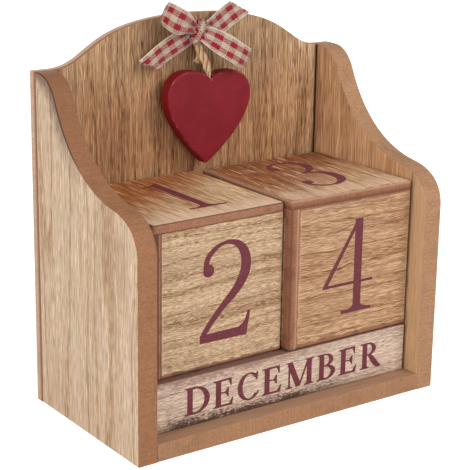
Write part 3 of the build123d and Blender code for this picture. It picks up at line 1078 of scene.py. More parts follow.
# %% Heart paint
def heart_finish():
    """Satin red paint, rubbed at the arris and scratched a little."""
    material, wiring, shader = new_finish("heart_red")
    place, normal = wiring.object_place()
    front = wiring.unsigned(wiring.dot(normal, back_way))
    cloud = wiring.noise(place, 3.0, 0.6, scale=(0.12, 0.12, 0.10))
    dark_red, light_red, side_red = paint(117, 23, 33), paint(126, 28, 38), paint(120, 15, 21)
    rubbed_pink, scratch_pink = paint(184, 104, 88), paint(190, 90, 86)
    colour = wiring.mix(wiring.fade(cloud, 0.35, 0.68), dark_red, light_red)
    colour = wiring.over(colour, side_red, wiring.fade(front, 0.55, 0.15))
    arris = wiring.times(wiring.fade(front, 0.45, 0.70), wiring.fade(front, 0.97, 0.80))
    worn = wiring.noise(place, 4.0, 0.75, scale=(0.35, 0.35, 0.35))
    rubbed = wiring.times(arris, wiring.fade(worn, 0.50, 0.62))
    colour = wiring.over(colour, rubbed_pink, rubbed, 0.6)
    scratch = wiring.fade(wiring.noise(place, 2.0, 0.6, scale=(0.5, 0.5, 3.5)), 0.735, 0.77)
    colour = wiring.over(colour, scratch_pink, scratch, 0.5)
    brushed = wiring.noise(place, 3.0, 0.6, scale=(1.8, 1.8, 1.4))
    lay_on(wiring, shader, colour, wiring.times_plus(brushed, 0.2, 0.48), 0.18, brushed, 0.03, 0.6)
    return material


give_finish("heart", heart_finish())

# %% [markdown]
# The tack and the brads are plain wire nails. Their steel is dull and slightly tarnished,
# and being drawn through a die left fine scratches all over it.

# %% Nail steel
def steel_finish():
    """Dull drawn steel with fine scratches and a little darkening."""
    material, wiring, shader = new_finish("nail_steel")
    place = wiring.object_place()[0]
    scratch = wiring.noise(place, 3.0, 0.7, scale=(6.0, 0.8, 6.0))
    tarnish = wiring.noise(place, 3.0, 0.6, scale=(0.9, 0.9, 0.9))
    bright_steel, dull_steel = paint(168, 166, 162), paint(112, 104, 96)
    colour = wiring.mix(wiring.fade(tarnish, 0.4, 0.7), bright_steel, dull_steel)
    shader.inputs["Metallic"].default_value = 1.0
    lay_on(wiring, shader, colour, wiring.times_plus(scratch, 0.3, 0.28), 0.5, scratch, 0.02, 0.5)
    return material


nail_steel = steel_finish()
give_finish("back_brads", nail_steel)
give_finish("bow_tack", nail_steel)

# %% [markdown]
# Jute is a stiff golden fibre. Every yarn has its own tone, and fine lines run along it.
# Random Per Island gives each separate tube one value, which is all that is needed.

# %% Jute
def jute_finish():
    """Straw-coloured fibre, each yarn in a tone of its own."""
    material, wiring, shader = new_finish("jute")
    tone = wiring.put("NewGeometry").outputs["Random Per Island"]
    fine = wiring.noise(wiring.object_place()[0], 3.0, 0.7, scale=(5.0, 5.0, 1.6))
    dark_straw, pale_straw, fibre_brown = paint(222, 182, 134), paint(246, 216, 174), paint(150, 104, 66)
    colour = wiring.mix(wiring.fade(tone, 0.0, 1.0), dark_straw, pale_straw)
    colour = wiring.over(colour, fibre_brown, wiring.fade(fine, 0.48, 0.74))
    lay_on(wiring, shader, colour, 0.72, 0.25, fine, strength=0.9)
    return material


jute = jute_finish()
twine_mesh.materials.append(jute)
knot_mesh.materials.append(jute)
print("jute", len(jute.node_tree.nodes), "nodes")

# %% [markdown]
# ## Printed numbers and month names
# The faces carry day numbers and month names in maroon ink, in a plain book letter with
# thick and thin strokes and bracketed serifs. A font file can't be counted on everywhere,
# so the letters are drawn here the way a sign painter thinks of them: pillars with serifs,
# bars, swelling brush strokes, bowls and round drops. The shapes of one letter overlap
# freely and are merged into one outline afterwards.

# %% Shapes that letters are made of
def bar(left, low, right, high):
    """An upright rectangle."""
    return [[(left, low), (right, low), (right, high), (left, high)]]


def corner_curve(start, bend, end, steps=4):
    """Points from start to end on a curve that leans into a bend."""
    points = []
    for step in range(steps + 1):
        t = step / steps
        points.append(tuple(
            (1 - t) ** 2 * a + 2 * t * (1 - t) * b + t * t * c for a, b, c in zip(start, bend, end)
        ))
    return points


def serif(middle, half, level, reach_left, reach_right, thick, way):
    """A serif under (way 1) or over (way -1) a stem, with curved brackets."""
    rise = way * thick
    bracket = way * thick * 2.6
    left, right = middle - half, middle + half
    far_left, far_right = left - reach_left, right + reach_right
    outline = [(far_left, level), (far_right, level)]
    outline += corner_curve((far_right, level + rise), (right, level + rise), (right, level + bracket))
    outline += corner_curve((left, level + bracket), (left, level + rise), (far_left, level + rise))
    return [outline]


def pillar(middle, width, low, high, foot=None, head=None, thick=0.55):
    """A stem. foot and head give how far the serifs reach left and right."""
    half = width / 2
    shapes = bar(middle - half, low, middle + half, high)
    if foot:
        shapes += serif(middle, half, low, *foot, thick, 1)
    if head:
        shapes += serif(middle, half, high, *head, thick, -1)
    return shapes


# %% [markdown]
# Round letters need strokes that swell and thin. A brush follows a smooth curve through a
# few knots, each with the stroke's half width there. A bowl is part of a ring between two
# ellipses, which is thick at its sides and thin above and below. A drop ends a stroke.

# %% Strokes, drops and bowls
def smooth_span(before, start, end, after, t):
    """A share t of the way from start to end, on a smooth curve through all four."""
    return [
        0.5 * (2 * b + (c - a) * t + (2 * a - 5 * b + 4 * c - d) * t * t + (3 * b - a - 3 * c + d) * t ** 3)
        for a, b, c, d in zip(before, start, end, after)
    ]


def mirrored(point, end):
    """The point as far beyond the end as the given one is before it."""
    return [2 * b - a for a, b in zip(point, end)]


def patches(pairs):
    """Four-sided patches between one pair of points and the next."""
    return [[a[0], a[1], b[1], b[0]] for a, b in zip(pairs, pairs[1:])]


def brush(*knots, steps=6):
    """A stroke through (x, y, half width) knots that swells and thins smoothly."""
    padded = [mirrored(knots[1], knots[0]), *knots, mirrored(knots[-2], knots[-1])]
    line = []
    for span in zip(padded, padded[1:], padded[2:], padded[3:]):
        line += [smooth_span(*span, step / steps) for step in range(steps)]
    line.append(list(knots[-1]))
    sides = []
    for index, (x, y, half) in enumerate(line):
        x0, y0 = line[max(index - 1, 0)][:2]
        x1, y1 = line[min(index + 1, len(line) - 1)][:2]
        length = math.hypot(x1 - x0, y1 - y0)
        nx, ny = (y0 - y1) / length * half, (x1 - x0) / length * half
        sides.append(((x + nx, y + ny), (x - nx, y - ny)))
    return patches(sides)


def drop(x, y, radius, steps=20):
    """A round end."""
    turns = [2 * math.pi * step / steps for step in range(steps)]
    return [[(x + radius * math.cos(turn), y + radius * math.sin(turn)) for turn in turns]]


def bowl(x, y, outer, inner, start=0, end=360, steps=40):
    """Part of a ring between two ellipses. outer and inner are (across, up) radii."""
    sides = []
    for step in range(steps + 1):
        turn = math.radians(start + (end - start) * step / steps)
        way = (math.cos(turn), math.sin(turn))
        sides.append([(x + radii[0] * way[0], y + radii[1] * way[1]) for radii in (outer, inner)])
    return patches(sides)


# %% [markdown]
# ### Numbers
# Six numbers go on each cube: 0, 1, 2 on both, 3, 4, 5 on the right one and 6, 7, 8 on the
# left one, because the 6 turned upside down is also the 9. The numbers are 42 millimetres
# high. Each is drawn from its lower left corner, in millimetres.

# %% Numbers, 42 mm high
numbers = {
    "0": bowl(13, 21, (12.8, 21.5), (8.0, 20.3)),
    "1": (
        pillar(10.6, 4.3, 0, 41, foot=(7.2, 7.2), thick=1.4)
        + [[
            (3, 38.7), (8.45, 38.4), (8.45, 36), (12.75, 38),
            (12.75, 43.0), (12.2, 43.0), (8.4, 40.2), (3, 39.7),
        ]]
    ),
    "2": (
        brush(
            (2.9, 31.6, 1.4), (3.6, 35.6, 1.3), (7.4, 39.5, 1.05), (12.9, 41.3, 0.8),
            (18.2, 40.1, 1.4), (21.8, 36.3, 2.15), (23.0, 31.0, 2.5), (21.8, 25.9, 2.5),
            (18.0, 20.4, 2.05), (12.0, 14.9, 1.6), (6.0, 8.9, 1.4), (1.4, 3.4, 1.2),
        )
        + drop(4.2, 30.6, 2.75)
        + [[
            (0, 0.1), (23.7, -0.3), (25.6, 10.0), (24.2, 10.3),
            (22.9, 6.6), (21.6, 4.9), (19.5, 3.9), (0, 3.8),
        ]]
    ),
    "3": (
        brush(
            (3.1, 34.5, 1.3), (5.2, 39.2, 1.15), (9.3, 42.0, 0.9), (12.9, 42.4, 0.85), (17.6, 40.9, 1.5),
            (20.8, 37.0, 2.1), (21.2, 32.6, 2.3), (19.4, 27.7, 1.9), (15.9, 24.1, 1.2), (11.6, 22.6, 0.55),
        )
        + brush(
            (10.6, 22.3, 0.5), (16.6, 21.5, 1.3), (20.9, 17.8, 2.1), (22.0, 12.2, 2.5), (20.2, 6.2, 2.2),
            (16.2, 1.9, 1.4), (11.4, 0.2, 0.85), (6.6, 0.9, 0.9), (3.0, 4.4, 1.2), (2.4, 8.5, 1.3),
        )
        + drop(4.6, 34.1, 2.6) + drop(4.0, 9.0, 2.6)
    ),
    "4": (
        pillar(19.1, 4.3, 0, 41.9, foot=(6.4, 6.0), thick=1.45)
        + bar(1.0, 12.9, 27.7, 14.2)
        + [[(0, 12.9), (2.9, 12.9), (2.9, 14.2), (17.4, 37.4), (18.6, 41.9), (18.3, 41.9), (0, 13.7)]]
    ),
    "5": (
        [[(5.6, 42), (6.2, 37.4), (19.4, 37.4), (22.4, 38.6), (23.6, 43.6), (22.7, 43.6), (20.6, 42)]]
        + brush((6.1, 41.5, 0.65), (5.4, 31.5, 0.65), (4.9, 22.0, 0.65))
        + brush(
            (4.9, 22.2, 0.7), (9.6, 25.4, 0.95), (15.4, 25.2, 1.7), (20.0, 21.4, 2.4), (21.6, 14.2, 2.6),
            (19.6, 6.6, 2.2), (14.8, 1.6, 1.4), (9.2, 0.2, 0.9), (4.8, 1.5, 1.0), (2.6, 4.8, 1.3),
        )
        + drop(4.0, 7.0, 2.6)
    ),
    "6": (
        bowl(13.0, 13.2, (11.9, 13.6), (7.3, 12.4))
        + brush((3.6, 12.5, 2.35), (4.2, 21.5, 2.4), (7.4, 30.4, 2.1), (12.8, 37.6, 1.4), (20.4, 42.3, 0.7))
    ),
    "7": (
        [[(0, 31.2), (1.1, 31.2), (2.4, 35.4), (5.0, 38.0), (24.6, 38.0), (24.6, 42), (1.6, 42)]]
        + brush((23.8, 40.6, 0.9), (18.0, 30.0, 1.5), (12.9, 18.5, 2.2), (10.4, 8.0, 2.6), (9.8, 0.0, 2.6))
    ),
    "8": (
        bowl(12.4, 31.3, (9.0, 11.0), (5.2, 9.8))
        + bowl(12.4, 11.3, (11.4, 11.7), (6.9, 10.5))
    ),
}
print("numbers", sorted(numbers))

# %% [markdown]
# ### Capitals
# The month names need twenty-one capitals, 12 millimetres high. Stems are 2.7 millimetres
# wide and thin strokes under one. What most capitals share comes first: a stem with its
# serifs, thin arms that end in beaks, slanted legs, and the serifs at their ends.

# %% Stems, arms and legs
STEM = 2.7
HAIR = 0.95
TOP = 12.0
both_ways = (1.3, 1.3)          # how far a serif reaches left and right of its stem
left_only = (1.3, 0)


def left_stem(foot=left_only, head=left_only):
    """The stem that most letters start with, its middle 2.8 mm from the letter's left."""
    return pillar(2.8, STEM, 0, TOP, foot=foot, head=head)


def arm(level, right, low=0.0, high=0.0):
    """A thin arm to the right, with a beak below or above its end."""
    shapes = bar(3, level, right, level + HAIR)
    if low:
        tip = level - low
        shapes += [[(right, level + HAIR), (right - 2.0, level + HAIR), (right - 0.5, tip), (right, tip)]]
    if high:
        tip = level + high
        shapes += [[(right - 2.4, level), (right, level), (right + 0.5, tip), (right, tip)]]
    return shapes


def thin_leg(x0, y0, x1, y1):
    return brush((x0, y0, 0.5), (x1, y1, 0.5), steps=1)


def thick_leg(x0, y0, x1, y1):
    return brush((x0, y0, 1.42), (x1, y1, 1.42), steps=1)


def foot_at(middle, half):
    return serif(middle, half, 0, *both_ways, 0.5, 1)


def head_at(middle, half):
    return serif(middle, half, TOP, *both_ways, 0.5, -1)


# %% [markdown]
# With these shapes each letter is a short sum. A few that come back in several letters are
# made once: the bowl of B and R, the middle arm of E and F, the beak of C and G, and the
# flag that M and N start with.

# %% The alphabet
upper_bowl = bowl(4.6, 9.0, (4.6, 3.0), (2.2, 2.3), -90, 90)
e_middle = bar(3, 5.8, 7.6, 6.5) + [[(6.2, 5.8), (7.5, 4.1), (8.0, 4.1), (8.0, 8.2), (7.5, 8.2), (6.2, 6.5)]]
high_beak = [[(9.6, 8.3), (10.3, 8.3), (10.7, 12.0), (10.2, 12.0), (8.9, 10.8)]]
flag = [[(0.4, TOP), (0.4, 11.5), (2.4, 11.2), (4.0, TOP)]]
capitals = {                    # the letter's width and its shapes
    "A": (13.0, thin_leg(6.3, 11.8, 2.0, 0.2) + thick_leg(6.2, 12.2, 10.6, 0.2)
          + bar(3.5, 3.8, 9.3, 4.6) + foot_at(2.0, 0.5) + foot_at(10.6, 1.1)),
    "B": (10.6, left_stem() + upper_bowl + bowl(4.6, 3.4, (5.8, 3.4), (3.2, 2.6), -90, 90)
          + bar(3, 11.25, 4.6, TOP) + bar(3, 6.0, 4.6, 6.8) + bar(3, 0, 4.6, HAIR)),
    "C": (11.2, bowl(6.2, 6, (6.0, 6.2), (3.4, 5.4), 38, 322)
          + high_beak + brush((8.6, 1.0, 0.6), (10.0, 2.0, 0.45), (11.0, 3.4, 0.3))),
    "D": (12.6, left_stem() + bowl(5.0, 6, (7.5, 6), (4.8, 5.2), -90, 90)
          + bar(3, 11.2, 5.0, TOP) + bar(3, 0, 5.0, HAIR)),
    "E": (10.8, left_stem() + arm(11.2, 9.4, low=2.6) + e_middle + arm(0, 9.8, high=3.4)),
    "F": (10.2, left_stem(foot=both_ways) + arm(11.2, 9.4, low=2.6) + e_middle),
    "G": (12.4, bowl(6.2, 6, (6.0, 6.2), (3.4, 5.4), 38, 318)
          + high_beak + pillar(10.3, 2.3, 0.9, 5.4, head=(1.3, 1.1), thick=0.5)),
    "H": (13.6, pillar(2.8, STEM, 0, TOP, both_ways, both_ways)
          + pillar(10.8, STEM, 0, TOP, both_ways, both_ways) + bar(3, 5.8, 10.8, 6.6)),
    "I": (5.6, pillar(2.8, STEM, 0, TOP, both_ways, both_ways)),
    "J": (7.2, pillar(4.4, STEM, 1.6, TOP, head=both_ways)
          + brush((4.4, 2.4, 1.25), (4.0, 0.0, 1.0), (2.2, -1.3, 0.6), (1.0, -0.8, 0.4))
          + drop(1.1, -0.2, 0.9)),
    "L": (10.2, left_stem(head=both_ways) + arm(0, 9.4, high=4.0)),
    "M": (15.6, pillar(2.3, HAIR, 0, TOP, (1.4, 1.4)) + pillar(13.0, STEM, 0, TOP, both_ways, (0.4, 1.3))
          + thick_leg(2.5, 11.6, 7.3, 0.6) + thin_leg(7.6, 0.2, 12.4, 11.8)
          + flag),
    "N": (13.4, pillar(2.4, HAIR, 0, TOP, (1.5, 1.5)) + pillar(11.0, HAIR, 0, TOP, head=(1.5, 1.5))
          + thick_leg(2.5, 11.4, 10.4, 0.8) + flag),
    "O": (12.6, bowl(6.3, 6, (6.1, 6.2), (3.4, 5.4))),
    "P": (10.4, left_stem(foot=both_ways) + bowl(4.8, 8.7, (5.0, 3.3), (2.6, 2.5), -90, 90)
          + bar(3, 11.2, 4.8, TOP) + bar(3, 5.4, 4.8, 6.2)),
    "R": (12.2, left_stem(foot=both_ways) + upper_bowl + bar(3, 11.25, 4.6, TOP) + bar(3, 6.0, 4.6, 6.7)
          + brush((5.4, 6.3, 0.9), (8.0, 3.0, 1.35), (10.2, 0.7, 1.1), (12.1, 0.2, 0.35))),
    "S": (9.2, brush((8.0, 8.7, 0.3), (7.4, 10.8, 0.5), (5.0, 11.7, 0.55), (2.6, 10.7, 1.0), (2.3, 8.6, 1.3),
                     (4.4, 6.6, 1.45), (6.6, 4.8, 1.4), (7.2, 2.8, 1.2), (6.2, 0.9, 0.9), (4.0, 0.3, 0.55),
                     (1.8, 1.2, 0.5), (1.1, 3.5, 0.3))
          + [[(7.6, 8.5), (8.2, 8.5), (8.4, 12.0), (7.9, 12.0)]]
          + [[(0.8, 0.0), (1.3, 0.0), (1.5, 3.7), (0.9, 3.7)]]),
    "T": (12.0, pillar(6.0, STEM, 0, TOP, foot=both_ways) + bar(0.8, 11.2, 11.2, TOP)
          + [[(0.6, 9.0), (1.1, 9.0), (2.6, 11.4), (0.8, TOP)]]
          + [[(10.9, 9.0), (11.4, 9.0), (11.2, TOP), (9.4, 11.4)]]),
    "U": (13.0, pillar(3.0, STEM, 3.6, TOP, head=both_ways) + pillar(10.4, HAIR, 3.6, TOP, head=(1.5, 1.5))
          + brush((3.0, 3.8, 1.25), (3.8, 1.4, 1.15), (6.6, 0.4, 0.75), (9.4, 1.4, 0.5), (10.4, 3.8, 0.47))),
    "V": (12.8, thick_leg(2.4, 11.8, 6.6, 0.2) + thin_leg(6.8, 0.2, 10.8, 11.8)
          + head_at(2.4, 1.1) + head_at(10.8, 0.4)),
    "Y": (12.2, thick_leg(2.2, 11.8, 5.8, 5.4) + thin_leg(6.4, 5.4, 10.2, 11.8)
          + pillar(6.2, STEM, 0, 5.8, foot=both_ways) + head_at(2.2, 1.1) + head_at(10.2, 0.4)),
}
print("capitals", "".join(sorted(capitals)))

# %% [markdown]
# ### From outlines to ink
# A constrained triangulation cuts all shapes of a letter where they cross and says which
# triangles lie inside any of them. What lies outside is dropped, so counters such as the
# middle of the 8 stay open. The flat letter is then raised by the thickness of a layer of
# ink, which is enough to catch a little light at its rim.

# %% Ink layer
ink_rise = 0.03 * MM
ink_sink = 0.04 * MM            # how far the layer reaches into the wood


def merged(shapes):
    """Points and triangles that cover a letter's shapes once."""
    points, faces = [], []
    for outline in shapes:
        area = sum(a[0] * b[1] - b[0] * a[1] for a, b in zip(outline, outline[1:] + outline[:1]))
        if abs(area) < 1e-6:
            continue
        ordered = outline if area > 0 else outline[::-1]
        faces.append(list(range(len(points), len(points) + len(ordered))))
        points += [Vector(point) for point in ordered]
    cut = delaunay_2d_cdt(points, [], faces, 0, 1e-4)
    spots, triangles, covered_by = cut[0], cut[2], cut[5]
    return spots, [triangle for triangle, shapes_here in zip(triangles, covered_by) if shapes_here]


def add_ink(ink, shapes, placement):
    """Adds a raised letter to a bmesh. The placement takes letter millimetres to its face."""
    spots, triangles = merged(shapes)
    corners = [ink.verts.new(placement @ Vector((spot.x, spot.y, -ink_sink / MM))) for spot in spots]
    faces = [ink.faces.new([corners[i] for i in triangle]) for triangle in triangles]
    raised = bmesh.ops.extrude_face_region(ink, geom=faces)["geom"]
    lift = placement.to_3x3() @ Vector((0, 0, (ink_sink + ink_rise) / MM))
    bmesh.ops.translate(ink, verts=[g for g in raised if isinstance(g, bmesh.types.BMVert)], vec=lift)


def ink_piece(name, letters, body):
    """One piece of ink from (shapes, placement) pairs."""
    ink = bmesh.new()
    for shapes, placement in letters:
        add_ink(ink, shapes, placement)
    loose = [corner for corner in ink.verts if not corner.link_faces]
    bmesh.ops.delete(ink, geom=loose, context="VERTS")
    bmesh.ops.recalc_face_normals(ink, faces=ink.faces)
    mesh = bpy.data.meshes.new(name)
    ink.to_mesh(mesh)
    ink.free()
    mesh.materials.append(ink_finish)
    keep_piece(name, mesh, body)


def face_placement(corner, right, up):
    """Takes (x, y, height) in millimetres on a face to its place in metres."""
    out = right.cross(up)
    turn = Matrix((right, up, out)).transposed().to_4x4()
    return Matrix.Translation(corner) @ turn @ Matrix.Scale(MM, 4)


def written(word, gap=1.4):
    """The shapes of a word's letters, set side by side, and its width."""
    letters, pen = [], 0.0
    for letter in word:
        width, shapes = capitals[letter]
        letters.append((shapes, pen))
        pen += width + gap
    return letters, pen - gap


# %% [markdown]
# The ink is a flat maroon screen print. It takes a little of the grain below it, so its
# tone wavers along the wood and a few pores show through as paler specks. On the tops,
# which get the most sun, it has faded a little.

# %% Ink finish
def make_ink():
    """Maroon ink, a little uneven where it lies over the grain."""
    material, wiring, shader = new_finish("maroon_ink")
    place, normal = wiring.object_place()
    uneven = wiring.noise(place, 4.0, 0.7, scale=(0.35, 0.9, 1.1))
    deep_maroon, pale_maroon, pore_brown = paint(99, 40, 48), paint(112, 54, 62), paint(146, 100, 90)
    colour = wiring.mix(wiring.fade(uneven, 0.35, 0.65), deep_maroon, pale_maroon)
    speck = wiring.noise(place, 3.0, 0.7, scale=(1.2, 2.6, 3.4))
    colour = wiring.over(colour, pore_brown, wiring.fade(speck, 0.62, 0.72), 0.45)
    on_top = wiring.fade(wiring.dot(normal, up_way), 0.5, 0.9)
    colour = wiring.shade(colour, wiring.times_plus(on_top, 0.16, 0.98))
    lay_on(wiring, shader, colour, wiring.times_plus(uneven, 0.2, 0.5), 0.2, speck, 0.02, 0.6)
    return material


ink_finish = make_ink()
print("ink", len(ink_finish.node_tree.nodes), "nodes")

# %% [markdown]
# ### Numbers on the cubes
# A number stands on its own face, seen upright from outside. Six placements describe the
# faces of a cube in its own directions, and the cube's turn brings them into the room. The
# numbers don't sit exactly in the middle, so each cube has its own offset.

# %% Cube numbers
def cube_faces(size):
    """Corner, way right and way up of each face, as it is read."""
    x, y, z = right_way, back_way, up_way
    return {
        "front": (Vector((0, 0, 0)), x, z),
        "top": (Vector((0, 0, size)), x, y),
        "right": (Vector((size, 0, 0)), y, z),
        "back": (Vector((size, size, 0)), -x, z),
        "left": (Vector((0, size, 0)), -y, z),
        "bottom": (Vector((0, size, 0)), x, -y),
    }


cube_numbers = {
    "left_cube_": {"front": ("2", 22.6, 11.3), "top": ("1", 24.4, 11.4), "right": ("6", 20.5, 11.4),
                   "back": ("7", 20.5, 11.4), "left": ("0", 19.5, 11.4), "bottom": ("8", 20.5, 11.4)},
    "right_cube_": {"front": ("4", 17.6, 11.5), "top": ("3", 21.4, 13.0), "right": ("5", 21.0, 11.6),
                    "back": ("0", 20.0, 11.6), "left": ("1", 22.4, 11.6), "bottom": ("2", 20.6, 11.6)},
}
for cube, faces in cube_numbers.items():
    turn, lowest = cube_corner(cube)
    letters = []
    for face, (corner, right, up) in cube_faces(cube_boxes[cube][0]).items():
        number, from_left, from_below = faces[face]
        start = lowest + turn @ (corner + right * from_left + up * from_below) * MM
        letters.append((numbers[number], face_placement(start, turn @ right, turn @ up)))
    body = cube.rstrip("_")
    ink_piece(body + "_numbers", letters, body)

# %% [markdown]
# ### Names on the month bars
# Three bars carry the twelve months, one name on each long face. Every bar is a body of its
# own, so its four names are one piece that travels with it. The front bar shows DECEMBER.

# %% Month names
bar_months = {
    "front_month_bar": ("front_bar", ("DECEMBER", "JANUARY", "FEBRUARY", "MARCH")),
    "middle_month_bar": ("middle_bar", ("APRIL", "MAY", "JUNE", "JULY")),
    "rear_month_bar": ("rear_bar", ("AUGUST", "SEPTEMBER", "OCTOBER", "NOVEMBER")),
}
name_baseline = 4.9             # millimetres above the face's lower edge
name_shift = 1.4                # the names sit a little right of the middle

for bar_node, (body, names) in bar_months.items():
    low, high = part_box(bar_node)
    faces = (
        (Vector((low.x, low.y, low.z)), up_way),
        (Vector((low.x, low.y, high.z)), back_way),
        (Vector((low.x, high.y, high.z)), -up_way),
        (Vector((low.x, high.y, low.z)), -back_way),
    )
    letters = []
    for word, (corner, up) in zip(names, faces):
        placed, width = written(word)
        start = corner + (right_way * ((bar_length - width) / 2 + name_shift) + up * name_baseline) * MM
        for shapes, pen in placed:
            letters.append((shapes, face_placement(start + right_way * pen * MM, right_way, up)))
    ink_piece(body + "_names", letters, body)

# %% [markdown]
# ## The gingham bow
# The bow is one soft ribbon, ten millimetres wide: two loops, two tails and a short wrap
# over the knot. A cloth simulation would need a tied knot to pull on, and would tie it
# differently each time. A florist shapes a bow by hand. Here each stretch
# starts as a flat strip with its weave on it and is bent through a few stations. A station
# gives how far out it lies from the knot, how far forward, how far beside its line, and
# how wide and how pleated the ribbon is there. Where it is gathered, the pleats take up
# the width, so that the cloth keeps its size.

# %% Paths for the strips
ribbon_width = 10.0             # millimetres
ribbon_thickness = 0.25 * MM
bow_middle = Vector((-4.2, 27.2, 157.3))


def smooth_stations(stations, share):
    """The stations' values at a share of their row, on a smooth curve through them."""
    spans = len(stations) - 1
    index = min(int(share * spans), spans - 1)
    start, end = stations[index], stations[index + 1]
    before = stations[index - 1] if index else mirrored(end, start)
    after = stations[index + 2] if index + 2 <= spans else mirrored(start, end)
    return smooth_span(before, start, end, after, share * spans - index)


def petal_path(direction, stations):
    """Rows of a strip that leaves the knot in a direction, in degrees from the right.

    A station is (out, forward place, beside, width, pleat depth, tilt in degrees).
    """
    turn = math.radians(direction)
    out = Vector((math.cos(turn), 0, math.sin(turn)))
    beside = Vector((-math.sin(turn), 0, math.cos(turn)))
    if beside.z < 0:
        beside = -beside

    def place(share):
        far, forward, shift, width, pleat, tilt = smooth_stations(stations, share)
        point = Vector((bow_middle.x, forward, bow_middle.z)) + out * far + beside * shift
        lean = math.radians(tilt)
        return point, beside * math.cos(lean) + back_way * math.sin(lean), width, pleat
    return place


def wrap_path(direction, long_radius, deep_radius):
    """Rows of the short wrap round the knot. It is folded, so its cream middle shows."""
    turn = math.radians(direction)
    out = Vector((math.cos(turn), 0, math.sin(turn)))
    beside = Vector((-math.sin(turn), 0, math.cos(turn)))

    def place(share):
        angle = 2 * math.pi * share - math.pi / 2
        point = bow_middle + out * long_radius * math.sin(angle) - back_way * deep_radius * math.cos(angle)
        return point, beside, 4.8, 0.42
    return place


# %% [markdown]
# A strip starts as a flat grid of small squares, and each corner is moved to where the bent
# ribbon has it: along the path, then across it by its place in the width, then out of the
# cloth by the pleats and the cup. Its map keeps the place that it had on the flat ribbon.

# %% Bending a strip
def bend_strip(ribbon, uv_layer, place, rows, slant, cup, offset, rounding, folds, shown):
    """Adds one strip to the ribbon and returns its length in millimetres.

    The slant is the extra length of one edge over the other. The cup bends the strip across
    its width. The offset is where the strip starts on the flat ribbon. The rounding is how
    much of its way out the lower and the upper corner of a loop fall back. The folds are
    the pleats' number, and shown is the share of the ribbon's width that isn't folded under.
    """
    steps = 200                 # the path's length is measured in short steps
    line = [place(step / steps)[0] for step in range(steps + 1)]
    length = sum((b - a).length for a, b in zip(line, line[1:]))
    near = 0.004                # its direction at a point is taken this share either way
    made = bmesh.ops.create_grid(ribbon, x_segments=20, y_segments=rows, size=0.5)["verts"]
    flat = {}
    for corner in made:
        side, share = corner.co.x, corner.co.y + 0.5
        share = share * (1 + slant * side / length)
        flat[corner] = ((side * shown + 0.5) * ribbon_width, share * length + offset)
        share = min(share, 1.2)
        point, across, width, pleat = place(share)
        ahead = place(share + near)[0] - place(share - near)[0]
        facing = ahead.cross(across).normalized()
        wave = pleat * math.cos(2 * math.pi * folds * side) + cup * (4 * side * side - 0.4)
        fallen = rounding[0 if side < 0 else 1] * (2 * side) ** 4
        point = point - (point - bow_middle) * fallen
        corner.co = (point + across * side * width + facing * wave) * MM
    for face in {face for corner in made for face in corner.link_faces}:
        face.smooth = True
        for loop in face.loops:
            loop[uv_layer].uv = flat[loop.vert]
    return length


# %% [markdown]
# ### Gingham
# Gingham is a plain weave with red and cream threads in both directions. The lengthwise
# threads lie closer, so their colour wins there. The pattern reads the strip's own map,
# which is in millimetres of flat ribbon, so it bends and folds with the cloth.

# %% Gingham
def gingham_finish():
    """Woven red and cream squares with cream selvedges, and threads that stand out."""
    material, wiring, shader = new_finish("gingham")
    row_width, row_length = 2.25, 3.2       # millimetres: one stripe across, one along
    pitch = 0.42                # millimetres from thread to thread
    flat = wiring.put("UVMap", uv_map="flat_ribbon").outputs[0]
    side, run = wiring.split(flat)[:2]
    wobble = wiring.noise(flat, scale=(0.35, 0.35, 0.0))
    side = wiring.times_plus(wobble, 0.5, wiring.minus(side, 0.25))

    def stripes(value, start, stripe):
        """1 on every second stripe."""
        repeats = wiring.maths("DIVIDE", wiring.minus(value, start), 2 * stripe)
        phase = wiring.maths("FRACT", repeats)
        return wiring.times(wiring.fade(phase, 0.485, 0.515), wiring.fade(phase, 1.0, 0.985))

    def thread_wave(value):
        """A wave with one thread in each half."""
        return wiring.maths("SINE", wiring.times(value, 2 * math.pi / pitch / 2))

    cream, red = paint(210, 192, 170), paint(160, 18, 40)
    thread_gap_shade, selvedge_cream = paint(84, 48, 46), paint(232, 216, 194)
    warp_colour = wiring.mix(stripes(side, 1.6 - row_width, row_width), cream, red)
    weft_colour = wiring.mix(stripes(run, 0.6, row_length), cream, red)
    across_thread, along_thread = thread_wave(side), thread_wave(run)
    crossing = wiring.times(across_thread, along_thread)
    colour = wiring.mix(wiring.fade(crossing, 0.12, 0.36), warp_colour, weft_colour)
    # Painted shade in the gaps between the threads.
    gap = wiring.smaller(wiring.unsigned(across_thread), wiring.unsigned(along_thread))
    colour = wiring.over(colour, thread_gap_shade, wiring.fade(gap, 0.42, 0.08), 0.55)
    slub = wiring.noise(flat, 2.0, 0.6, scale=(2.2, 0.6, 0.0))
    colour = wiring.shade(colour, wiring.times_plus(wiring.fade(slub, 0.35, 0.65), 0.24, 0.80))
    selvedge = wiring.larger(wiring.fade(side, 0.55, 0.25), wiring.fade(side, 9.45, 9.75))
    colour = wiring.over(colour, selvedge_cream, selvedge, 0.7)
    shader.inputs["Sheen Weight"].default_value = 0.25
    lay_on(wiring, shader, colour, 0.85, 0.15, wiring.plus(gap, selvedge), 0.12)
    return material


# %% [markdown]
# ### Shaping the bow
# The left loop rises and shows the inside of its returning layer as a pale strip below it.
# The right loop is longer, falls in front of the heart, and shows its returning layer above.
# Both tails leave behind the loops and end in a slanted cut. The wrap over the knot is
# folded lengthwise, so less than half of the ribbon's width shows on it.

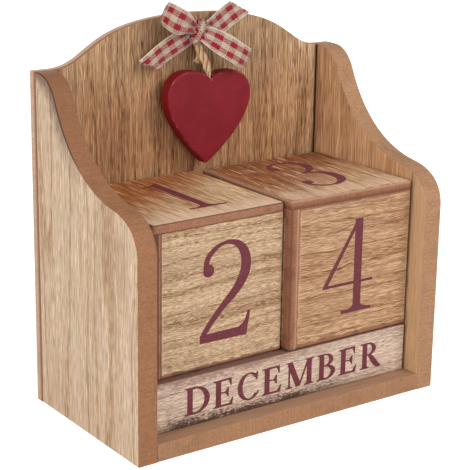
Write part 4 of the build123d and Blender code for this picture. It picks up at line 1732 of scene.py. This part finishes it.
# %% Bow
ribbon = bmesh.new()
flat_layer = ribbon.loops.layers.uv.new("flat_ribbon")
left_loop = petal_path(151.8, [
    (0.4, 27.0, 0.0, 4.6, 0.7, 0), (5.2, 24.8, 0.2, 6.4, 0.8, -4), (10.4, 23.6, -0.6, 10.4, 0.30, -6),
    (15.0, 23.9, -0.7, 11.2, 0.0, -6), (18.8, 25.3, -0.3, 10.6, 0.0, -3), (20.0, 27.0, 0.0, 10.0, 0.0, 0),
    (18.2, 28.8, 0.3, 10.0, 0.0, 2), (12.6, 29.7, 0.6, 10.0, 0.05, 3), (7.0, 29.4, 0.6, 8.0, 0.30, 3),
    (1.0, 28.2, 0.0, 4.4, 0.55, 0),
])
right_loop = petal_path(-30.3, [
    (0.4, 27.2, 0.0, 4.8, 0.60, 0), (5.2, 24.6, 0.2, 8.6, 0.45, 4), (12.5, 22.7, 0.0, 10.0, 0.10, 6),
    (19.0, 22.0, 0.0, 10.0, 0.0, 5), (24.8, 22.2, 0.0, 10.0, 0.0, 2), (27.3, 23.3, 0.2, 10.0, 0.0, 0),
    (27.2, 24.8, 0.5, 10.0, 0.0, -2), (23.4, 26.1, 0.9, 10.0, 0.0, -4), (16.4, 26.8, 1.3, 10.0, 0.05, -5),
    (9.0, 27.5, 1.0, 8.4, 0.25, -4), (1.6, 28.2, 0.4, 4.4, 0.55, 0),
])
right_tail = petal_path(32.5, [
    (-0.6, 28.4, 0.6, 4.4, 0.50, 0), (6.2, 29.0, -3.4, 8.2, 0.35, 0), (11.0, 29.9, -4.8, 9.6, 0.12, 4),
    (18.0, 31.2, -5.4, 10.0, 0.0, 6), (25.2, 31.0, -5.7, 10.0, 0.0, 4),
])
left_tail = petal_path(211.0, [
    (-1.0, 28.6, 0.0, 5.4, 0.60, 0), (5.0, 29.4, 0.2, 8.8, 0.30, -4), (11.5, 30.5, 0.4, 10.0, 0.10, -8),
    (18.5, 31.5, 0.3, 10.0, 0.0, -10), (25.8, 31.2, 0.0, 10.0, 0.0, -8),
])
straight, lower_round, both_round = (0.0, 0.0), (0.09, 0.02), (0.06, 0.05)
right_cut, left_cut = -5.2, 6.2         # millimetres that one edge of a tail is longer by
strips = (
    (left_loop, 96, 0.0, 0.45, lower_round, 2.0, 1.0), (right_loop, 124, 0.0, 0.45, both_round, 2.0, 1.0),
    (right_tail, 56, right_cut, 0.5, straight, 2.0, 1.0),
    (left_tail, 60, left_cut, 0.5, straight, 2.0, 1.0),
    (wrap_path(243.0, 5.0, 1.8), 60, 0.0, -0.5, straight, 3.0, 0.42),
)
ribbon_length = 0.0
for place, rows, slant, cup, rounding, folds, shown in strips:
    ribbon_length += bend_strip(
        ribbon, flat_layer, place, rows, slant, cup, ribbon_length, rounding, folds, shown,
    )
ribbon_mesh = bpy.data.meshes.new("gingham_ribbon")
ribbon.to_mesh(ribbon_mesh)
ribbon.free()
ribbon_mesh.materials.append(gingham_finish())
bow = keep_piece("gingham_ribbon", ribbon_mesh, "case")
cloth = bow.modifiers.new("cloth thickness", "SOLIDIFY")
cloth.thickness = ribbon_thickness
cloth.offset = 0.0
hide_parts("ribbon_bow")
print("ribbon", round(ribbon_length, 1), "mm long")

# %% [markdown]
# ### Frayed ends
# A woven ribbon frays where it is cut across: the crosswise threads fall out and the
# lengthwise ones stick out like a fringe. Each is a fine tube that starts inside the cloth.

# %% Fringe
fringe_thickness = 0.16 * MM
thread_count = 22


def fringe(place, slant, length_here):
    """Loose threads at the cut end of a tail. The slant and the tail's length are millimetres."""
    lines = []
    for count in range(thread_count):
        side = (count + 0.5) / thread_count - 0.5 + dice.uniform(-0.01, 0.01)
        end_share = 1 + slant * side / length_here
        point, across, width = place(end_share - 0.03)[:3]
        ahead = (place(end_share)[0] - place(end_share - 0.02)[0]).normalized()
        way = ahead + across * dice.uniform(-0.45, 0.45) + back_way * dice.uniform(-0.4, 0.3)
        reach = dice.uniform(0.4, 1.4)
        root = point + across * side * width
        bend = across * dice.uniform(-0.5, 0.5)
        tip_start = root + (place(end_share)[0] - point)
        lines.append([
            (root * MM, 1.0), (tip_start * MM, 1.0),
            ((tip_start + way * reach * 0.6) * MM, 0.9), ((tip_start + (way + bend) * reach) * MM, 0.5),
        ])
    return lines


thread_lines = fringe(right_tail, right_cut, 27.0) + fringe(left_tail, left_cut, 28.0)
thread_mesh = tube_mesh("ribbon_threads", thread_lines, fringe_thickness)


def thread_finish():
    """Cream and red cotton threads, each in one colour."""
    material, wiring, shader = new_finish("cotton_thread")
    tone = wiring.put("NewGeometry").outputs["Random Per Island"]
    fuzz = wiring.noise(wiring.object_place()[0], scale=(4.0, 4.0, 4.0))
    cream, red = paint(226, 210, 190), paint(176, 40, 60)
    colour = wiring.mix(wiring.fade(tone, 0.52, 0.58), cream, red)
    lay_on(wiring, shader, wiring.shade(colour, wiring.times_plus(fuzz, 0.3, 0.85)), 0.85, 0.5)
    return material


thread_mesh.materials.append(thread_finish())
threads = keep_piece("ribbon_threads", thread_mesh, "case")
